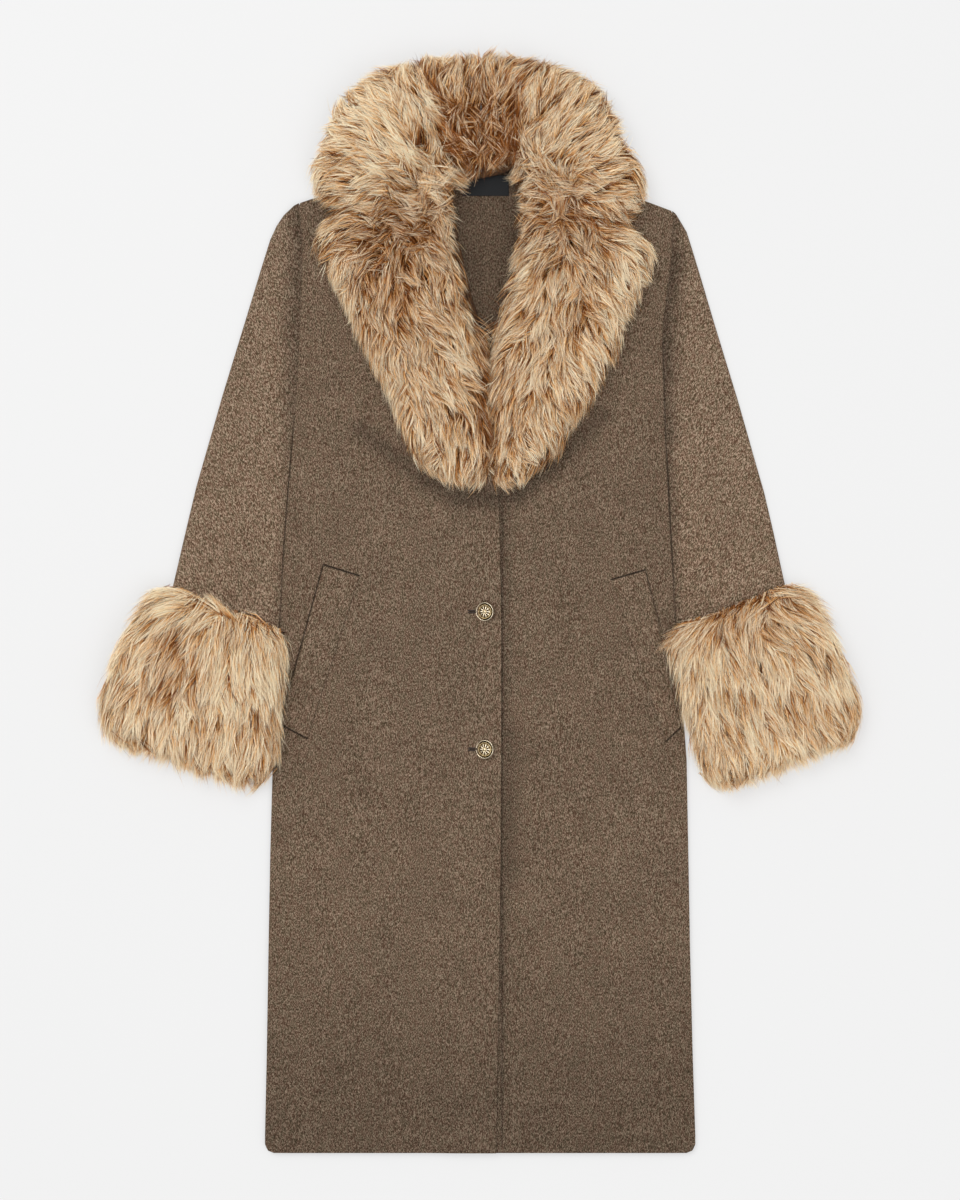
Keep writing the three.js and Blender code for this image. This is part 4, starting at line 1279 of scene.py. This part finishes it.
def shadeHairs(mesh, tuft, s, seed, rng):
    p, tufts = shading, len(tuft["spot"])
    each, wisp = spreaders(s, tufts, rng)
    wispCount = tufts * s["wisps"]
    count = wispCount * s["perWisp"]
    patches = sum(waves(tuft["spot"], size, seed + step) * share for step, size, share in p["patches"])
    patches = patches + tuft["lockTone"] * p["lock"]
    tone = each(tuft["tone"] * p["combed"] + patches + rng.normal(size=tufts) * p["tuft"])
    own = wisp(1)[:, 0] * p["wisp"] + rng.normal(size=count) * p["hair"]
    dashes = (rng.random(wispCount) < p["dashShare"]) * rng.uniform(*p["dashes"], wispCount)
    # Dark hairs: a few everywhere are coarse hairs, and more at lock edges and between locks stand for painted shade.
    darkAll, darkEdge, darkCleft = p["darkShares"]
    darkShare = darkAll + darkEdge * each(tuft["lockEdge"]) + darkCleft * each(tuft["cleft"])
    dark = (rng.random(count) < darkShare) * rng.uniform(*p["darks"], count) * p["darkDrop"]
    tone = p["base"] + s["tone"] + tone + own * (1 + each(tuft["tangle"]).clip(0, 1))
    warm = p["warm"] - each(tuft["tone"]) * p["warmDark"] + each(rng.normal(size=tufts) * p["warmTuft"])
    perHair = {
        "tone": tone - np.repeat(dashes, s["perWisp"]) - dark,
        "guardHairAndShade": dark,
        "warm": (warm + wisp(1)[:, 0] * p["warmWisp"]).clip(0, p["warmMost"]),
    }
    perVertex = {"along": np.tile(np.repeat(hair["stations"], (2, 2, 1)), count)}
    perVertex.update({key: np.repeat(values, 5) for key, values in perHair.items()})
    for key, values in perVertex.items():
        mesh.attributes.new(key, "FLOAT", "POINT").data.foreach_set("value", values.astype(np.float32))


def growFur(name, node, guides, settings, shadow, seed, side=None):
    rng = np.random.default_rng(seed)
    tuft, tree = layTufts(node, guides, settings, seed, rng, side)
    roots = sinkRoots(tuft, tree, settings["depth"])
    line, normal = curveHairs(tuft, roots, settings, shadow, ground, seed, rng)
    mesh = ribbonMesh(name, line, normal, settings["width"], rng)
    shadeHairs(mesh, tuft, settings, seed, rng)
    settle(newPiece(name, mesh), node, furLook)
    print("fur", name, len(roots), "tufts", len(line), "hairs", len(line) * 3, "triangles")


# The backing under a pile, in metres: its height is a share of the solid's, and its outline is drawn in but for
# the middle seam and the neck. The neck's edge comes over the neckline. Places are half the width, from and to.
backingFit = {
    "inset": 0.012,
    "rise": 0.0003,
    "height": 0.55,
    "middle": (0.002, 0.45, 1),
    "neck": (0.062, 0.47, 0.56),
    "edge": (0.046, 0.492, 0.512),
    "edgeOver": 0.008,
    "edgeLowest": 0.0042,
}


def furBacking(node, material):
    b = backingFit
    piece = copyNode(node, pieceName(node, "Backing"))
    points, corners = nodeArrays(piece.name)
    middle, neck, edge = (
        (np.abs(points[:, 0]) < half) & (points[:, 1] > low) & (points[:, 1] < high)
        for half, low, high in (b["middle"], b["neck"], b["edge"]))
    lifted = points - smoothNormals(points, corners)[0] * np.array([b["inset"], b["inset"], 0.0])
    lifted[middle, 0] = points[middle, 0]
    lifted[neck, :2] = points[neck, :2]
    floorLevel = points[:, 2].min()
    lifted[:, 2] = floorLevel + b["rise"] + (points[:, 2] - floorLevel) * b["height"]
    lifted[edge, 1] -= b["edgeOver"]
    lifted[edge, 2] = np.maximum(lifted[edge, 2], b["edgeLowest"])
    setVertices(piece, lifted)
    makeActive(piece)
    bpy.ops.object.shade_smooth()
    settle(piece, node, material)


# Millimetres from the middle of the face.
button = {
    "facets": 104,
    "petals": 10,
    "beads": 26,
    "faceDrop": 4.6,
    "tilt": 21,
    "hinge": 2.2,
    "clear": 0.9,
    "underShade": 0.4,
    "rings": (0.0, 0.5, 1.0, 1.5, 2.0, 2.5, 3.0, 3.5, 4.0, 4.5, 5.0, 5.5, 6.0, 6.4, 6.8, 7.1, 7.4, 7.65, 7.9,
              8.15, 8.4, 8.65, 8.85, 9.05, 9.25, 9.5, 9.8, 10.1, 10.4, 10.65, 10.8),
    "underside": ((10.8, 1.9), (10.4, 1.1), (9.4, 0.3), (8.4, 0.1), (1.7, 0.1), (1.7, -2.6)),
}


# Height of the face over its back, and how much painted shade it takes for lying low in a hollow, less on the raised
# beads, at a radius and an angle.
def buttonRelief(radius, angle):
    bell = lambda centre, width: math.exp(-((radius - centre) / width) ** 2)
    if radius > 9.55:
        return 2.0 + 1.5 * math.sqrt(max(0.0, 1 - ((radius - 10.15) / 0.7) ** 2)), 0.0
    petal = max(0.0, math.cos(button["petals"] / 2 * angle) ** 2 - 0.25)
    rosette = 0.9 * petal * bell(4.3, 1.5) + 0.7 * bell(0, 1.0)
    rosette += 0.5 * bell(1.9, 0.5) * (0.5 + 0.5 * math.cos(5 * angle))
    bead = 0.5 * bell(7.5, 0.42) * (0.5 + 0.5 * math.cos(button["beads"] * angle))
    groove = 0.55 * bell(6.7, 0.3) + 1.5 * bell(8.95, 0.55) + 0.35 * bell(1.8, 0.35)
    height = 2.3 + 1.5 * (1 - (radius / 9) ** 2) + rosette * 0.9 + bead - groove
    recessShade = min(1.0, 1.6 * groove + 1.1 * bell(4.3, 2.0) * (1 - min(1.0, petal * 2.4)) + 0.5 * bell(7.5, 0.5))
    return height, max(0.0, recessShade - 0.8 * bead)


def makeButton(node, material):
    b, facets = button, button["facets"]
    low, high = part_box(node)
    x, y = (low[0] + high[0]) / 2, (low[1] + high[1]) / 2
    face = high[2] - b["faceDrop"] * mm
    vertices, recessShades = [], []
    rings = [(radius, None) for radius in b["rings"]] + list(b["underside"])
    for radius, underside in rings:
        for step in range(facets):
            angle = 2 * math.pi * step / facets
            if underside is None:
                height, recessShade = buttonRelief(radius, angle)
                z = face + min(height, b["faceDrop"]) * mm
            else:
                z, recessShade = max(low[2], face + underside * mm), b["underShade"]
            vertices.append((x + radius * mm * math.cos(angle), y + radius * mm * math.sin(angle), z))
            recessShades.append(recessShade)
    shank = (len(rings) - 1) * facets
    faces = []
    for start in range(0, shank, facets):
        for step in range(facets):
            after = (step + 1) % facets
            faces.append((start + step, start + facets + step, start + facets + after, start + after))
    faces.append(tuple(range(shank, shank + facets)))
    name = pieceName(node, "Metal")
    mesh = newMesh(name, vertices, faces)
    mesh.attributes.new("recessShade", "FLOAT", "POINT").data.foreach_set("value", recessShades)
    hinge = Vector((x, y, face + b["hinge"] * mm))
    lean = Matrix.Rotation(math.radians(-b["tilt"]), 4, "Y")
    lean = Matrix.Translation(hinge) @ lean @ Matrix.Translation(-hinge)
    for vertex in mesh.vertices[:shank]:
        vertex.co = lean @ vertex.co
        vertex.co.z = max(vertex.co.z, low[2] + b["clear"] * mm)
    piece = newPiece(name, mesh)
    weld(piece, 0.005 * mm, faceOut=True)
    smoothByAngle(piece, 60)
    settle(piece, node, material)
    print("button", node, triangleCount(piece), "triangles")


# Pale gold, darkened by painted shade in hollows and underneath; unshaded places get a near-white painted reflection.
def metalMaterial():
    material, tree, shader = newMaterial("paleGold", {"Metallic": 1.0, "Roughness": 0.26})
    recessShade = addNode(tree, "Attribute", attribute_name="recessShade").outputs["Fac"]
    noise = noiseNode(tree, addNode(tree, "TexCoord").outputs["Object"], 900.0, 3.0).outputs[0]
    depth = mathNode(tree, "ADD", recessShade, mathNode(tree, "MULTIPLY_ADD", noise, 0.3, -0.15), clamp=True)
    feed(tree, shader.inputs["Base Color"], rampNode(tree, depth, (
        (0.0, srgb(232, 220, 196)), (0.3, srgb(205, 184, 138)), (0.6, srgb(110, 84, 48)), (1.0, srgb(30, 20, 12)))))
    feed(tree, shader.inputs["Roughness"], mathNode(tree, "MULTIPLY_ADD", depth, 0.4, 0.22))
    return material


def labelMaterial():
    material, tree, shader = newMaterial("wovenBlack", {"Roughness": 0.75, "Specular IOR Level": 0.2})
    place = addNode(tree, "TexCoord").outputs["Object"]
    turned = addNode(tree, "Mapping", Vector=place, Rotation=(0, 0, math.radians(38))).outputs[0]
    wave = addNode(tree, "TexWave", Vector=turned, Scale=260.0, Distortion=0.6).outputs["Fac"]
    feed(tree, shader.inputs["Base Color"], rampNode(tree, wave, ((0.2, srgb(18, 19, 20)), (0.9, srgb(38, 39, 41)))))
    feed(tree, shader.inputs["Normal"], addNode(tree, "Bump", Strength=0.3, Distance=0.0002, Height=wave).outputs[0])
    return material


# Millimetres, but for the flat size.
label = {"cuts": 6, "bevel": 0.25, "selvedge": 1.6, "selvedgeRise": 0.2, "flat": (0.053, 0.0235)}


def makeLabel(material):
    piece = copyPanel("neck_label", "neckLabelWoven", label["cuts"])
    useModifier(piece, "BEVEL", width=label["bevel"] * mm, segments=2, limit_method="ANGLE",
                angle_limit=math.radians(50))
    points = vertexArray(piece)
    low, high = points.min(0), points.max(0)
    edge = np.minimum(points[:, 1] - low[1], high[1] - points[:, 1]) < label["selvedge"] * mm
    points[:, 2] += label["selvedgeRise"] * mm * edge * (points[:, 2] > (low[2] + high[2]) / 2)
    setVertices(piece, points)
    smoothByAngle(piece, 40)
    settle(piece, "neck_label", material)


print("camera and light")
setStudio()
fleckGroup = buildFlecks()
paintedShadeGroup = buildPaintedShade()
pileGroup = buildPileTone()
print("cloth")
for node, settings in clothPieces.items():
    dressCloth(node, settings)
print("fur")
ground = groundMap()
furLook = furMaterial("longPile")
# The backing is dark brown like the roots; where it shows between hairs it stands for painted shade deep in the pile.
backing = speckledMaterial("furBacking", 0.95, 240.0, 3.0, srgb(50, 30, 14), srgb(100, 66, 36))
for node in ("collar_left", "collar_right", "cuff_left", "cuff_right"):
    furBacking(node, backing)
collarShadow = pileShadow(collarBorder, neckOpening, 3)
lower = lambda spots: spots[:, 1] < 0.43
upper = lambda spots: spots[:, 1] >= 0.43
for name, node, guides, seed, side in (
        ("collarLeftLow", "collar_left", leftCollarGuides, 11, lower),
        ("collarLeftHigh", "collar_left", leftCollarGuides, 11, upper),
        ("collarRightLow", "collar_right", rightCollarGuides, 12, lower),
        ("collarRightHigh", "collar_right", rightCollarGuides, 12, upper)):
    growFur(name, node, guides, pile["collar"], collarShadow, seed, side)
for name, node, guides, border, seed in (
        ("cuffLeftPile", "cuff_left", leftCuffGuides, leftCuffBorder, 13),
        ("cuffRightPile", "cuff_right", rightCuffGuides, rightCuffBorder, 14)):
    growFur(name, node, guides, pile["cuff"], pileShadow(border, None, 2), seed)
print("buttons and label")
metal = metalMaterial()
for node in ("button_top", "button_bottom"):
    makeButton(node, metal)
# The thread is near-black, partly its own colour and partly painted shade in the slits.
stitchButtonholes(speckledMaterial("brownThread", 0.7, 2600.0, 2.0, srgb(34, 25, 19), srgb(70, 54, 43)))
makeLabel(labelMaterial())

deselectAll()
